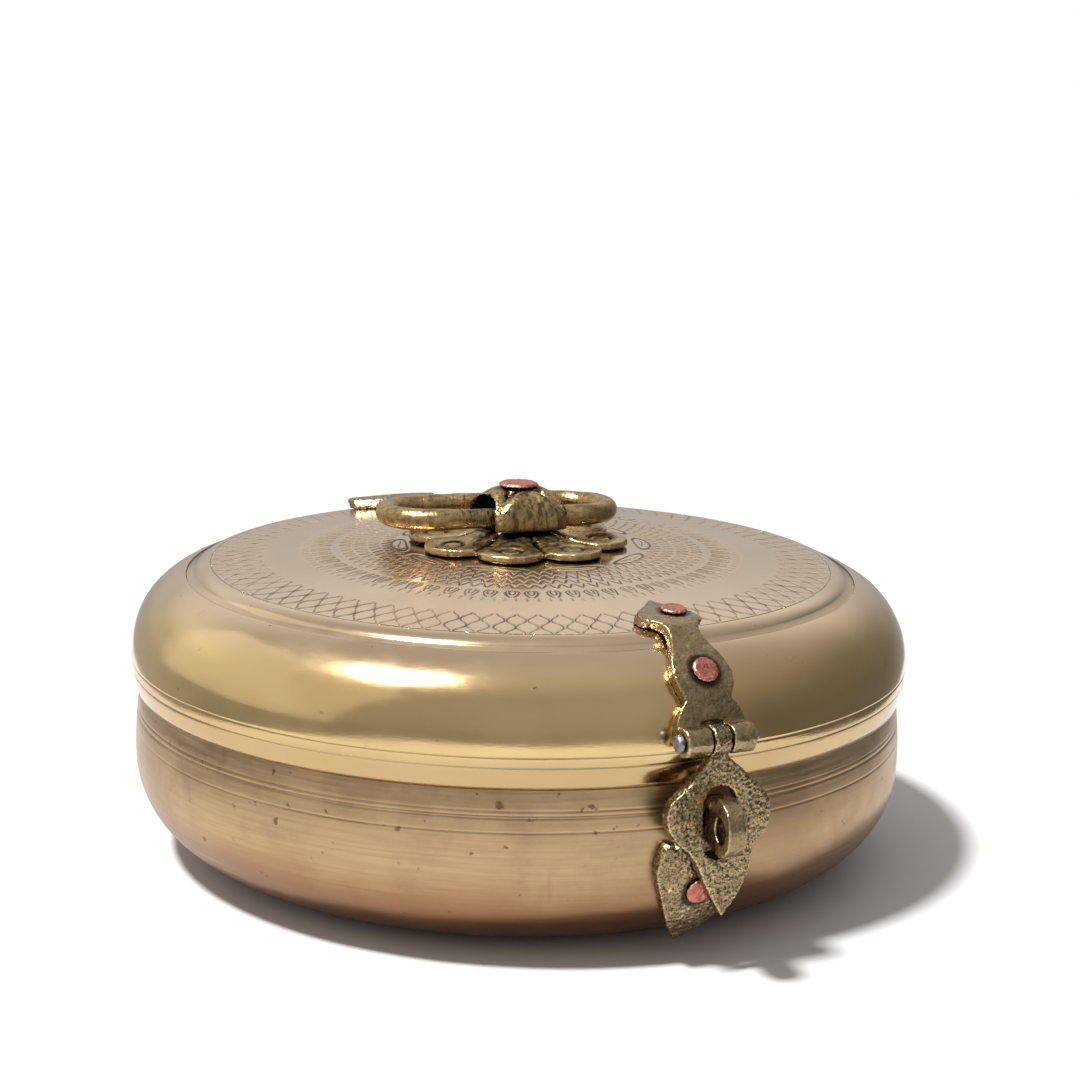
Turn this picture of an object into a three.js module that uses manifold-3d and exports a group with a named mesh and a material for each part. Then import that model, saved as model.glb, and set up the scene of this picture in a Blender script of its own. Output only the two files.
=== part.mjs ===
// Masala dabba: a lidded round brass spice box with a hasp, a hinge, a ring handle and seven cups.
// Millimetres, +Z up. The origin is the centre of the flat underside, the hasp faces -Y
// and the hinge is at +Y.
import * as THREE from 'three';
import { mergeVertices } from 'three/addons/utils/BufferGeometryUtils.js';
import Module from 'manifold-3d';

const wasm = await Module();
wasm.setup();

// ---------------------------------------------------------------- driving dimensions
const GAP = 0.3;                  // clearance between pieces that touch in the real box
const ROUND_STEPS = 50;           // facets round the box
const SHELL_STEPS = 66;           // facets round the shells that straps are cut from

const BASE_FOOT_R = 80.4;         // flat underside
const BASE_WALL_R = 118.9;        // widest radius of the base
const BASE_WALL_Z = 31.9;         // height of the widest radius
const BASE_RIM_R = 117.5;         // radius at the rim
const BASE_RIM_Z = 51.9;
const BASE_CORNER_POWER = 0.95;   // fullness of the bottom corner
const BASE_WALL = 1.8;            // sheet thickness

const COLLAR_R = 115.2;           // seating collar that the lid drops over
const COLLAR_WALL = 1.4;
const COLLAR_Z = [48.6, 60.0];

const LID_RIM_R = 118.3;
const LID_RIM_Z = 52.2;
const LID_WIDE_R = 120.0;         // widest radius of the lid
const LID_WIDE_Z = 63.0;
const SHOULDER = [23.0, 23.9];    // half axes of the shoulder's ellipse, across and up
const GROOVE_R = 103.3;           // foot of the raised step
const STEP_R = 99.0;              // where the step's round meets the dome
const STEP_ROUND = 3.2;
const DOME_Z = 94.9;              // crown of the lid
const DOME_FALL = 6.35e-4;        // drop per square millimetre of radius
const LID_WALL = 2.0;

const STRAP_THICK = 3.1;          // cast straps and plates
const KNUCKLE_R = 4.1;
const PIN_R = 1.5;
const PIN_BORE_R = 1.85;
const PIN_HEAD = [2.5, 1.6];      // radius, thickness
const HASP_AXIS = [-125.3, 65.8]; // y, z of the hasp's pin
const HINGE_AXIS = [124.2, 53.6]; // y, z of the lid's hinge pin
const HASP_THICK = 3.5;
const NOTCH_TOP = { front: 16.8, rear: 7.4 };  // how far up each strap its hinge notch reaches
const SLOT = { x: 0.7, half: 5.1, z: [32.7, 53.5] };

const EYE = {
  x: 1.2, y: -131.8, z: 43.4, r: 7.8, thick: 4.9,
  footY: -122.6, footHalf: 6.4, spread: 120,   // the ring's arc runs this many degrees each way
  holeR: 3.6, hole: [-1.2, -0.5],              // hole's offset from the middle, out and up
  turn: THREE.MathUtils.degToRad(-7),          // hand set, a little askew
};
const TANG = { r: 2.2, from: -123.6, to: -113.4, clear: 0.35 };
const TANG_WASHER = { r: 4.6, y: [-115.9, -114.7] };
const RIVET_HEAD = [3.75, 0.9];   // radius, height
const RIVET_SHANK_R = 2.0;
const RIVET_HOLE_R = 2.35;
const RIVET_SEAT = 0.25;          // gap under a rivet's head
const RIVET_TAIL = { r: 3.2, gap: 0.8, height: 1.0 };

const CREST = { x: -1.0, y: 0.6 }; // the rosette, knob and ring are set off centre by hand
const ROSETTE = {
  petals: 8, petalR: 10.3, petalAt: 23.8, phase: 15.5,
  topZ: 96.8, bossZ: 99.9, bossR: 9.0, fall: 7.0,
  veeHalf: 1.1, veeDeep: 1.0, veeFrom: 14.0,
};
const KNOB_BODY = { length: 25.5, depth: 27.0, height: 12.0, z: 100.3, turn: THREE.MathUtils.degToRad(-3) };
const TUNNEL = { half: 10.8, height: 9.2 };
const RING = {
  halfStraight: 20.5, bendR: 14.6, limbR: 3.15, bendBarR: 3.6, lap: 3.0,
  limbAt: -5.5, z: 103.4, shift: -4.2, tilt: -2.0, turn: THREE.MathUtils.degToRad(-9),
};
const KNOB_RIVET = { headR: 6.1, headH: 1.0, tailR: 3.8, washerR: 6.5, washerH: 1.2 };

const CUP = { count: 7, r: 34.4, footR: 15.0, bowlZ: 18.0, height: 38.0, wall: 1.0, ringR: 69.6, z: 2.1 };

// ---------------------------------------------------------------- materials
const metal = (color, roughness) => new THREE.MeshStandardMaterial({ color, roughness, metalness: 1.0 });
const BRASS = metal(0xc4a86e, 0.28);
const BRASS_DULL = metal(0xb08f5c, 0.42);
const BRASS_CAST = metal(0x7d6c48, 0.5);
const COPPER = metal(0xb5685a, 0.4);
const IRON = metal(0x5a5f69, 0.45);

// ---------------------------------------------------------------- solids
// Turns a closed three.js geometry into a solid with its faces pointing out.
function solid(geometry) {
  const bare = geometry.clone();
  bare.deleteAttribute('normal');
  bare.deleteAttribute('uv');
  const merged = mergeVertices(bare, 1e-4);
  const p = merged.attributes.position.array;
  const triangles = [];
  let volume = 0;
  for (let i = 0; i < merged.index.count; i += 3) {
    const [a, b, c] = [0, 1, 2].map((k) => merged.index.getX(i + k));
    if (a === b || b === c || c === a) continue;
    triangles.push(a, b, c);
    const v = [a, b, c].map((k) => new THREE.Vector3(p[3 * k], p[3 * k + 1], p[3 * k + 2]));
    volume += v[0].dot(v[1].cross(v[2]));
  }
  if (volume < 0) triangles.reverse();
  return new wasm.Manifold(new wasm.Mesh({
    numProp: 3,
    vertProperties: new Float32Array(p),
    triVerts: new Uint32Array(triangles),
  }));
}

function geometryOf(body) {
  const mesh = body.getMesh();
  const geometry = new THREE.BufferGeometry();
  geometry.setAttribute('position', new THREE.BufferAttribute(new Float32Array(mesh.vertProperties), 3));
  geometry.setIndex(new THREE.BufferAttribute(new Uint32Array(mesh.triVerts), 1));
  geometry.computeVertexNormals();
  return geometry;
}

// Solid of revolution about +Z from a closed profile of [radius, height] pairs.
function revolve(profile, steps = ROUND_STEPS) {
  const points = profile.map(([r, z]) => new THREE.Vector2(r, z));
  const geometry = new THREE.LatheGeometry(points, steps);
  geometry.rotateX(Math.PI / 2);
  return solid(geometry);
}

// Flat shape in local x, y pushed along +Z, then moved by a matrix.
function prism(shape, depth, matrix = new THREE.Matrix4(), curveSegments = 6) {
  const geometry = new THREE.ExtrudeGeometry(shape, { depth, bevelEnabled: false, curveSegments });
  geometry.applyMatrix4(matrix);
  return solid(geometry);
}

function rod(radius, from, to, steps = 14) {
  const a = new THREE.Vector3(...from);
  const b = new THREE.Vector3(...to);
  const geometry = new THREE.CylinderGeometry(radius, radius, a.distanceTo(b), steps);
  const along = b.clone().sub(a).normalize();
  const turn = new THREE.Quaternion().setFromUnitVectors(new THREE.Vector3(0, 1, 0), along);
  geometry.applyQuaternion(turn);
  geometry.translate(...a.add(b).multiplyScalar(0.5).toArray());
  return solid(geometry);
}

function basis(x, y, z, origin) {
  const axes = [x, y, z].map((axis) => new THREE.Vector3(...axis));
  return new THREE.Matrix4().makeBasis(...axes).setPosition(...origin);
}

const spline = (points, divisions) =>
  new THREE.SplineCurve(points.map(([x, y]) => new THREE.Vector2(x, y))).getPoints(divisions);

// Closed shape from a list of smooth runs; the runs meet in corners.
function outline(...runs) {
  const points = runs.flatMap((run) => (run.length > 2 ? spline(run, Math.round(run.length * 1.3)) : run)
    .map((q) => (q.isVector2 ? q : new THREE.Vector2(...q))));
  const clean = points.filter((q, i) => q.distanceTo(points[(i + 1) % points.length]) > 0.05);
  return new THREE.Shape(clean);
}

const mirrorRun = (run) => run.map(([x, y]) => [-x, y]).reverse();

// ---------------------------------------------------------------- profiles of the box
const arcSteps = (n, from, to, f) =>
  Array.from({ length: n + 1 }, (_, i) => f(from + ((to - from) * i) / n));

// Outside of the base from the edge of its flat underside up to the rim.
const basePath = [
  ...arcSteps(9, 0, Math.PI / 2, (t) => [
    BASE_FOOT_R + (BASE_WALL_R - BASE_FOOT_R) * Math.sin(t) ** BASE_CORNER_POWER,
    BASE_WALL_Z * (1 - Math.cos(t) ** BASE_CORNER_POWER),
  ]),
  ...arcSteps(3, 1 / 3, 1, (k) => [
    BASE_WALL_R + (BASE_RIM_R - BASE_WALL_R) * k * k,
    BASE_WALL_Z + (BASE_RIM_Z - BASE_WALL_Z) * k,
  ]),
];

// Outside of the lid from its rim up over the shoulder to the groove.
const shoulderEnd = Math.acos((GROOVE_R - LID_WIDE_R + SHOULDER[0]) / SHOULDER[0]);
const shoulderPath = [
  ...arcSteps(3, 0, 1, (k) => [
    LID_WIDE_R - (LID_WIDE_R - LID_RIM_R) * (1 - k) ** 2,
    LID_RIM_Z + (LID_WIDE_Z - LID_RIM_Z) * k,
  ]),
  ...arcSteps(7, shoulderEnd / 7, shoulderEnd, (t) => [
    LID_WIDE_R - SHOULDER[0] * (1 - Math.cos(t)),
    LID_WIDE_Z + SHOULDER[1] * Math.sin(t),
  ]),
];
const domeZ = (r) => DOME_Z - DOME_FALL * r * r;
const stepPath = arcSteps(4, 0, Math.PI / 2, (t) => [
  STEP_R + STEP_ROUND * Math.cos(t),
  domeZ(STEP_R) - STEP_ROUND * (1 - Math.sin(t)),
]);
const domePath = [80, 52, 25, 0].map((r) => [r, domeZ(r)]);
const lidPath = [...shoulderPath, ...stepPath, ...domePath];
// Path that a strap follows: it bridges the groove.
const strapPath = [...shoulderPath.slice(0, -1), ...stepPath.slice(2), ...domePath];

// Path of the staple plate: it lies on the wall above and hangs clear of the curve below.
const staplePath = [
  [103.5, 1.5], [108.5, 7.0], [114.3, 15.0], [118.0, 23.6],
  [119.0, 32.0], [118.9, 40.0], [118.4, 47.0], [118.0, 51.0],
];

function normalAt(path, i) {
  const a = path[Math.max(i - 1, 0)];
  const b = path[Math.min(i + 1, path.length - 1)];
  return new THREE.Vector2(b[1] - a[1], a[0] - b[0]).normalize();
}

function offsetPath(path, distance) {
  return path.map(([r, z], i) => {
    const n = normalAt(path, i);
    return [Math.max(r + distance * n.x, 0), z + distance * n.y];
  });
}

// Inside line of a sheet wall, walked back from the end of the path to its start.
const innerLine = (path, wall) => offsetPath(path, -wall).reverse();

// Point and outward normal at arc length s along a path.
function along(path, s) {
  let left = s;
  for (let i = 1; i < path.length; i += 1) {
    const step = Math.hypot(path[i][0] - path[i - 1][0], path[i][1] - path[i - 1][1]);
    if (left <= step || i === path.length - 1) {
      const k = left / step;
      const at = [0, 1].map((c) => path[i - 1][c] + k * (path[i][c] - path[i - 1][c]));
      const n = normalAt(path, i - 1).lerp(normalAt(path, i), k).normalize();
      return { r: at[0], z: at[1], n };
    }
    left -= step;
  }
  return null;
}

// ---------------------------------------------------------------- hardware that follows the box
// side is -1 for the front and +1 for the rear; seen from outside, x runs along +X on both.
// Frame with Z along the surface normal at arc length s, moved round the box by x.
function seat(path, side, s, x, lift) {
  const { r, z, n } = along(path, s);
  const normal = [0, side * n.x, n.y];
  const across = [1, 0, 0];
  const up = new THREE.Vector3(...normal).cross(new THREE.Vector3(...across)).toArray();
  const at = [0, side * (r + lift * n.x), z + lift * n.y];
  return new THREE.Matrix4().makeRotationZ((-side * x) / r).multiply(basis(across, up, normal, at));
}

const PLATE_CUT = { from: 60, depth: 110 };   // reach of the prism that cuts a plate's outline

// Plate of even thickness that lies on the box: a shell round the path cut to an outline.
// The outline's points are [x, s]; tilt is the direction it is cut from, up from horizontal.
function wrappedPlate(path, side, runs, tilt) {
  const [c, k] = [Math.cos(tilt), Math.sin(tilt)];
  const flat = (x, s) => {
    const { r, z, n } = along(path, s);
    const mid = GAP + STRAP_THICK / 2;
    return [x, c * (z + mid * n.y) - k * (r + mid * n.x)];
  };
  const shape = outline(...runs.map((run) => run.map(([x, s]) => flat(x, s))));
  const start = [0, side * PLATE_CUT.from * c, PLATE_CUT.from * k];
  const reach = basis([1, 0, 0], [0, -side * k, c], [0, side * c, k], start);
  const shell = revolve([
    ...offsetPath(path, GAP),
    ...offsetPath(path, GAP + STRAP_THICK).reverse(),
    offsetPath(path, GAP)[0],
  ], SHELL_STEPS);
  return shell.intersect(prism(shape, PLATE_CUT.depth, reach));
}

// Rivet along +Z with its head's underside at 0 and its tail past the metal that it holds.
function rivetProfile(grip, [headR, headH]) {
  const tail = -grip - RIVET_TAIL.gap;
  const end = tail - RIVET_TAIL.height;
  return [
    [0, headH], [headR - 0.6, headH], [headR, headH / 2], [headR, 0],
    [RIVET_SHANK_R, 0], [RIVET_SHANK_R, tail], [RIVET_TAIL.r, tail], [RIVET_TAIL.r - 0.7, end], [0, end],
  ];
}

const rivetLift = GAP + STRAP_THICK + RIVET_SEAT;
const RIVET_STEPS = 14;
function rivet(matrix, wall) {
  const points = rivetProfile(rivetLift + wall, RIVET_HEAD).map(([r, z]) => new THREE.Vector2(r, z));
  const geometry = new THREE.LatheGeometry(points, RIVET_STEPS);
  geometry.rotateX(Math.PI / 2);
  geometry.applyMatrix4(matrix);
  return solid(geometry);
}
const RIVET_HOLE_LENGTH = 24;
function rivetHole(matrix) {
  const geometry = new THREE.CylinderGeometry(RIVET_HOLE_R, RIVET_HOLE_R, RIVET_HOLE_LENGTH, RIVET_STEPS);
  geometry.rotateX(Math.PI / 2);
  geometry.applyMatrix4(matrix);
  return solid(geometry);
}
const drill = (plate, seats) => seats.reduce((body, m) => body.subtract(rivetHole(m)), plate);

function knuckle([y, z], x0, x1) {
  return rod(KNUCKLE_R, [x0, y, z], [x1, y, z], 16);
}
const pinBore = ([y, z]) => rod(PIN_BORE_R, [-20, y, z], [20, y, z], 12);

function pin([y, z], x0, x1) {
  const [headR, headH] = PIN_HEAD;
  const profile = [
    [0, x0 - headH], [headR - 0.7, x0 - headH], [headR, x0 - headH / 2], [headR, x0],
    [PIN_R, x0], [PIN_R, x1], [headR - 0.4, x1], [headR - 0.4, x1 + headH / 2],
    [headR - 1.1, x1 + headH], [0, x1 + headH],
  ];
  const geometry = new THREE.LatheGeometry(profile.map(([r, h]) => new THREE.Vector2(r, h)), 12);
  geometry.rotateZ(-Math.PI / 2);
  geometry.translate(0, y, z);
  return solid(geometry);
}

const KNUCKLES = { left: [-10.6, -3.3], centre: [-2.4, 2.4], right: [3.3, 10.2] };

// ---------------------------------------------------------------- scene
const box = new THREE.Group();
function add(name, body, material, parent = box) {
  const mesh = new THREE.Mesh(geometryOf(body), material);
  mesh.name = name;
  parent.add(mesh);
  return mesh;
}

// ---------------------------------------------------------------- front strap, on the lid
const strapRight = [
  [10.3, 13.5], [9.9, 19.0], [6.9, 22.2], [9.4, 27.2], [8.4, 32.5],
  [6.2, 39.5], [5.9, 44.0], [7.0, 46.6], [8.8, 47.5],
];
const crownRight = [[8.8, 47.5], [9.8, 50.5], [7.6, 57.0], [4.4, 61.0]];
const strapLeft = [
  [-10.3, 13.5], [-9.9, 19.2], [-6.6, 22.4], [-8.6, 28.2], [-7.4, 33.8],
  [-4.4, 40.5], [-3.6, 45.0], [-4.8, 48.6], [-6.6, 49.8],
];
const crownLeft = [[-6.6, 49.8], [-7.6, 53.6], [-5.2, 58.4], [-1.4, 61.6]];
const finial = [1.8, 65.8];
const frontStrapRuns = [
  strapRight,
  crownRight,
  [[4.4, 61.0], finial],
  [finial, [-1.4, 61.6]],
  [...crownLeft].reverse(),
  [...strapLeft].reverse(),
  [[-10.3, 13.5], [-3.3, 13.5]],
  [[-3.3, NOTCH_TOP.front], [3.3, NOTCH_TOP.front]],
  [[3.3, 13.5], [10.3, 13.5]],
];
const DEG45 = Math.PI / 4;
const frontRivets = [
  seat(strapPath, -1, 29.6, 0.9, rivetLift),
  seat(strapPath, -1, 54.2, 4.0, rivetLift),
];
const frontStrap = drill(wrappedPlate(strapPath, -1, frontStrapRuns, DEG45), frontRivets)
  .add(knuckle(HASP_AXIS, ...KNUCKLES.left))
  .add(knuckle(HASP_AXIS, ...KNUCKLES.right))
  .subtract(pinBore(HASP_AXIS));

// ---------------------------------------------------------------- rear strap, on the lid
const rearFlank = [
  [10.3, 2.0], [9.9, 9.0], [7.4, 16.0], [9.3, 26.0], [8.2, 32.0],
  [5.8, 39.0], [5.6, 43.0], [6.6, 47.0], [9.0, 48.6],
];
const rearCrownRight = [[9.0, 48.6], [10.4, 52.0], [6.4, 57.6], [0.6, 61.4]];
const rearTip = [-2.6, 66.4];
const rearCrownLeft = [[-5.8, 61.6], [-14.6, 58.6], [-21.6, 52.8], [-20.0, 48.6]];
const rearFlankLeft = [
  [-20.0, 48.6], [-11.0, 46.6], [-6.0, 43.0], [-5.8, 39.0], [-8.2, 32.0],
  [-9.3, 26.0], [-7.4, 16.0], [-9.9, 9.0], [-10.3, 2.0],
];
const rearStrapRuns = [
  rearFlank,
  rearCrownRight,
  [[0.6, 61.4], rearTip],
  [rearTip, [-5.8, 61.6]],
  rearCrownLeft,
  rearFlankLeft,
  [[-10.3, 2.0], [-3.3, 2.0]],
  [[-3.3, NOTCH_TOP.rear], [3.3, NOTCH_TOP.rear]],
  [[3.3, 2.0], [10.3, 2.0]],
];
const rearRivets = [
  seat(strapPath, 1, 25.0, 0, rivetLift),
  seat(strapPath, 1, 38.0, 0, rivetLift),
];
const rearStrap = drill(wrappedPlate(strapPath, 1, rearStrapRuns, DEG45), rearRivets)
  .add(knuckle(HINGE_AXIS, ...KNUCKLES.left))
  .add(knuckle(HINGE_AXIS, ...KNUCKLES.right))
  .subtract(pinBore(HINGE_AXIS));

// ---------------------------------------------------------------- staple plate and rear leaf, on the base
const leafTip = [-2.4, 6.5];
const leafRight = [leafTip, [3.4, 12.5], [9.6, 22.0], [13.4, 29.5], [14.6, 34.0], [13.4, 38.0]];
const leafHornRight = [[13.4, 38.0], [11.6, 40.4], [8.6, 39.4], [7.4, 42.6]];
const leafTopRight = [[7.4, 42.6], [6.2, 48.2], [0, 50.4]];
const leafTopLeft = [[0, 50.4], [-6.2, 48.2], [-7.4, 42.0]];
const leafHornLeft = [[-7.4, 42.0], [-8.4, 38.4], [-11.4, 39.6], [-13.2, 37.2]];
const leafLeft = [[-13.2, 37.2], [-14.3, 33.4], [-13.8, 29.0], [-11.0, 21.5], [-6.8, 12.5], leafTip];
const leafRuns = [leafRight, leafHornRight, leafTopRight, leafTopLeft, leafHornLeft, leafLeft];
const LEAF_TILT = -0.35;
const stapleRivetSeat = seat(staplePath, -1, 26.4, -1.7, rivetLift);
const tangHole = rod(TANG.r + TANG.clear, [EYE.x, EYE.y, EYE.z], [EYE.x, TANG.to + 2, EYE.z]);
const staplePlate = drill(wrappedPlate(staplePath, -1, leafRuns, LEAF_TILT), [stapleRivetSeat])
  .subtract(tangHole);

const rearLeafHalf = [
  [0, 37.0], [6.0, 41.0], [11.5, 49.0], [13.4, 56.0], [11.0, 61.5], [10.6, 66.0], [9.0, 70.5], [2.4, 71.0],
];
const REAR_LEAF_TILT = -0.2;
const rearLeafRivets = [-6.2, 6.2].map((x) => seat(basePath, 1, 59.0, x, rivetLift));
const web = new THREE.BoxGeometry(KNUCKLES.centre[1] * 2, 4.4, 8.0);
web.translate(0, 121.9, HINGE_AXIS[1] - 4.9);
const rearLeafPlate = wrappedPlate(basePath, 1, [rearLeafHalf, mirrorRun(rearLeafHalf)], REAR_LEAF_TILT);
const rearLeaf = drill(rearLeafPlate, rearLeafRivets)
  .add(knuckle(HINGE_AXIS, ...KNUCKLES.centre))
  .add(solid(web))
  .subtract(pinBore(HINGE_AXIS));

// ---------------------------------------------------------------- staple eye, through plate and wall
const eyeArc = THREE.MathUtils.degToRad(EYE.spread);
const eyeShape = new THREE.Shape();
eyeShape.moveTo(0, -EYE.footHalf);
eyeShape.lineTo(0, EYE.footHalf);
eyeShape.absarc(EYE.footY - EYE.y, 0, EYE.r, eyeArc, -eyeArc, true);
const eyeHoleAt = [EYE.y + EYE.hole[0], EYE.z + EYE.hole[1]];
const eyeRing = prism(eyeShape, EYE.thick, basis([0, -1, 0], [0, 0, 1], [-1, 0, 0],
  [EYE.thick / 2, EYE.footY, EYE.z]), 16)
  .subtract(rod(EYE.holeR, [-EYE.thick, ...eyeHoleAt], [EYE.thick, ...eyeHoleAt], 18));
const eyeTurn = new THREE.Matrix4().makeTranslation(EYE.x, EYE.footY, 0)
  .multiply(new THREE.Matrix4().makeRotationZ(EYE.turn))
  .multiply(new THREE.Matrix4().makeTranslation(0, -EYE.footY, 0));
const eye = eyeRing.transform([...eyeTurn.elements])
  .add(rod(TANG.r, [EYE.x, TANG.from, EYE.z], [EYE.x, TANG.to, EYE.z]));
const [washerFrom, washerTo] = TANG_WASHER.y;
const eyeWasher = rod(TANG_WASHER.r, [EYE.x, washerFrom, EYE.z], [EYE.x, washerTo, EYE.z], 16)
  .subtract(tangHole);

// ---------------------------------------------------------------- base
const bowlSheet = revolve([[0, 0], ...basePath, ...innerLine(basePath, BASE_WALL), [0, BASE_WALL]]);
const bowl = drill(bowlSheet, [stapleRivetSeat, ...rearLeafRivets]).subtract(tangHole);
const collar = revolve([
  [COLLAR_R, COLLAR_Z[0]], [COLLAR_R, COLLAR_Z[1] - 0.6], [COLLAR_R - 0.6, COLLAR_Z[1]],
  [COLLAR_R - COLLAR_WALL, COLLAR_Z[1]], [COLLAR_R - COLLAR_WALL, COLLAR_Z[0]], [COLLAR_R, COLLAR_Z[0]],
]);

// ---------------------------------------------------------------- lid
const lidSheet = revolve([...lidPath, ...innerLine(lidPath, LID_WALL), lidPath[0]]);
const lid = drill(lidSheet, [...frontRivets, ...rearRivets])
  .subtract(rod(RIVET_HOLE_R, [CREST.x, CREST.y, DOME_Z - 10], [CREST.x, CREST.y, DOME_Z + 5]));

add('base_bowl', bowl, BRASS_DULL);
add('base_collar', collar, BRASS_DULL);
add('staple_plate', staplePlate, BRASS_CAST);
add('staple_eye', eye, BRASS_CAST);
add('staple_washer', eyeWasher, BRASS_CAST);
add('staple_rivet', rivet(stapleRivetSeat, BASE_WALL), COPPER);
add('rear_leaf', rearLeaf, BRASS_CAST);
rearLeafRivets.forEach((m, i) => add(`rear_leaf_rivet_${i + 1}`, rivet(m, BASE_WALL), COPPER));
add('lid_shell', lid, BRASS);
add('front_strap', frontStrap, BRASS_CAST);
frontRivets.forEach((m, i) => add(`front_strap_rivet_${i + 1}`, rivet(m, LID_WALL), COPPER));
add('front_pin', pin(HASP_AXIS, KNUCKLES.left[0] - GAP, KNUCKLES.right[1] + GAP), IRON);
add('rear_strap', rearStrap, BRASS_CAST);
rearRivets.forEach((m, i) => add(`rear_strap_rivet_${i + 1}`, rivet(m, LID_WALL), COPPER));
add('rear_pin', pin(HINGE_AXIS, KNUCKLES.left[0] - GAP, KNUCKLES.right[1] + GAP), IRON);

// ---------------------------------------------------------------- hasp plate
const haspRight = [
  [2.3, 63.2], [2.7, 61.2], [6.6, 57.9], [11.2, 53.4],
  [15.0, 49.6], [16.4, 44.3], [15.0, 38.9], [11.0, 35.8],
];
const haspLeft = [
  [-2.3, 63.2], [-2.7, 61.2], [-5.2, 57.9], [-9.2, 53.4],
  [-13.6, 50.4], [-15.0, 46.0], [-13.4, 40.6], [-7.8, 35.4],
];
const tailRight = [[11.0, 35.8], [10.6, 31.6], [9.6, 26.6], [6.6, 21.8], [2.8, 16.9]];
const tailLeft = [[-7.8, 35.4], [-5.4, 31.8], [-3.6, 27.6], [-1.0, 22.6], [2.2, 16.9]];
const haspShape = outline(haspRight, tailRight, [...tailLeft].reverse(), [...haspLeft].reverse());
const slotPath = new THREE.Path();
const slotMid = [SLOT.z[0] + SLOT.half, SLOT.z[1] - SLOT.half];
slotPath.absarc(SLOT.x, slotMid[0], SLOT.half, Math.PI, 2 * Math.PI, false);
slotPath.absarc(SLOT.x, slotMid[1], SLOT.half, 0, Math.PI, false);
haspShape.holes.push(slotPath);
const haspBack = basis([1, 0, 0], [0, 0, 1], [0, -1, 0], [0, HASP_AXIS[0] + HASP_THICK / 2, 0]);
const hasp = prism(haspShape, HASP_THICK, haspBack, 7)
  .add(knuckle(HASP_AXIS, ...KNUCKLES.centre))
  .subtract(pinBore(HASP_AXIS));
add('hasp_plate', hasp, BRASS_CAST);

// ---------------------------------------------------------------- rosette, knob and ring
const crest = new THREE.Group();
crest.position.set(CREST.x, CREST.y, 0);
box.add(crest);

const petalTurn = (i) => THREE.MathUtils.degToRad(ROSETTE.phase + (360 / ROSETTE.petals) * i);
function petalOutline() {
  const half = Math.PI / ROSETTE.petals;
  const notch = ROSETTE.petalAt * Math.cos(half)
    + Math.sqrt(ROSETTE.petalR ** 2 - (ROSETTE.petalAt * Math.sin(half)) ** 2);
  const points = [];
  for (let i = 0; i < ROSETTE.petals; i += 1) {
    const turn = petalTurn(i);
    const centre = new THREE.Vector2(Math.cos(turn), Math.sin(turn)).multiplyScalar(ROSETTE.petalAt);
    const corner = new THREE.Vector2(Math.cos(turn + half), Math.sin(turn + half)).multiplyScalar(notch);
    const sweep = corner.clone().sub(centre).angle() - turn;
    const limit = Math.atan2(Math.sin(sweep), Math.cos(sweep));
    for (const k of [-1, -0.66, -0.33, 0, 0.33, 0.66]) {
      const a = turn + k * limit;
      points.push(new THREE.Vector2(Math.cos(a), Math.sin(a)).multiplyScalar(ROSETTE.petalR).add(centre));
    }
  }
  return new THREE.Shape(points);
}
const rosetteR = ROSETTE.petalAt + ROSETTE.petalR + 1;
function rosetteZ(r) {
  const past = Math.max(r - ROSETTE.bossR, 0) / ROSETTE.fall;
  return ROSETTE.topZ + (ROSETTE.bossZ - ROSETTE.topZ) * Math.exp(-(past ** 2));
}
const rosetteDisc = revolve([
  [0, domeZ(0) + GAP], [rosetteR, domeZ(rosetteR) + GAP + 0.2],
  [rosetteR, ROSETTE.topZ - 0.2],
  ...[26, 20, 15, 11, 8, 0].map((r) => [r, rosetteZ(r)]),
], 40);
// A vee cut down the line between two petals.
function petalVee(i) {
  const turn = petalTurn(i + 0.5);
  const { veeHalf, veeDeep, veeFrom } = ROSETTE;
  const vee = new THREE.Shape([
    new THREE.Vector2(-veeHalf, veeHalf), new THREE.Vector2(0, -veeDeep), new THREE.Vector2(veeHalf, veeHalf),
  ]);
  const out = [Math.cos(turn), Math.sin(turn), 0];
  const side = [-Math.sin(turn), Math.cos(turn), 0];
  const at = [veeFrom * out[0], veeFrom * out[1], ROSETTE.topZ];
  return prism(vee, rosetteR, basis(side, [0, 0, 1], out, at));
}
const petals = Array.from({ length: ROSETTE.petals }, (_, i) => i);
const petalPrism = prism(petalOutline(), 20, basis([1, 0, 0], [0, 1, 0], [0, 0, 1], [0, 0, 90]));
const rosette = petals.reduce((body, i) => body.subtract(petalVee(i)), rosetteDisc.intersect(petalPrism))
  .subtract(rod(RIVET_HOLE_R, [0, 0, 90], [0, 0, 105]));
add('rosette', rosette, BRASS_CAST, crest);

const knobGroup = new THREE.Group();
knobGroup.position.set(0, 0, KNOB_BODY.z);
knobGroup.rotation.z = KNOB_BODY.turn;
crest.add(knobGroup);
// Upper half of a superellipse, half width a and height b, standing on its flat side.
function archShape(a, b, power, foot, steps = 14) {
  const points = arcSteps(steps, 0, Math.PI, (t) => {
    const [c, s] = [Math.cos(t), Math.sin(t)];
    return new THREE.Vector2(a * Math.sign(c) * Math.abs(c) ** (2 / power), b * Math.abs(s) ** (2 / power));
  });
  if (foot) points.push(new THREE.Vector2(-a, -foot), new THREE.Vector2(a, -foot));
  return new THREE.Shape(points);
}
const { length: knobL, depth: knobD, height: knobH } = KNOB_BODY;
const acrossTunnel = basis([0, 1, 0], [0, 0, 1], [1, 0, 0], [-knobL / 2, 0, 0]);
const alongTunnel = basis([1, 0, 0], [0, 0, 1], [0, -1, 0], [0, knobD / 2, 0]);
const planPower = [0.3, 0.45];
const roundTo = (c, power) => Math.sign(c) * Math.abs(c) ** power;
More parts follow.
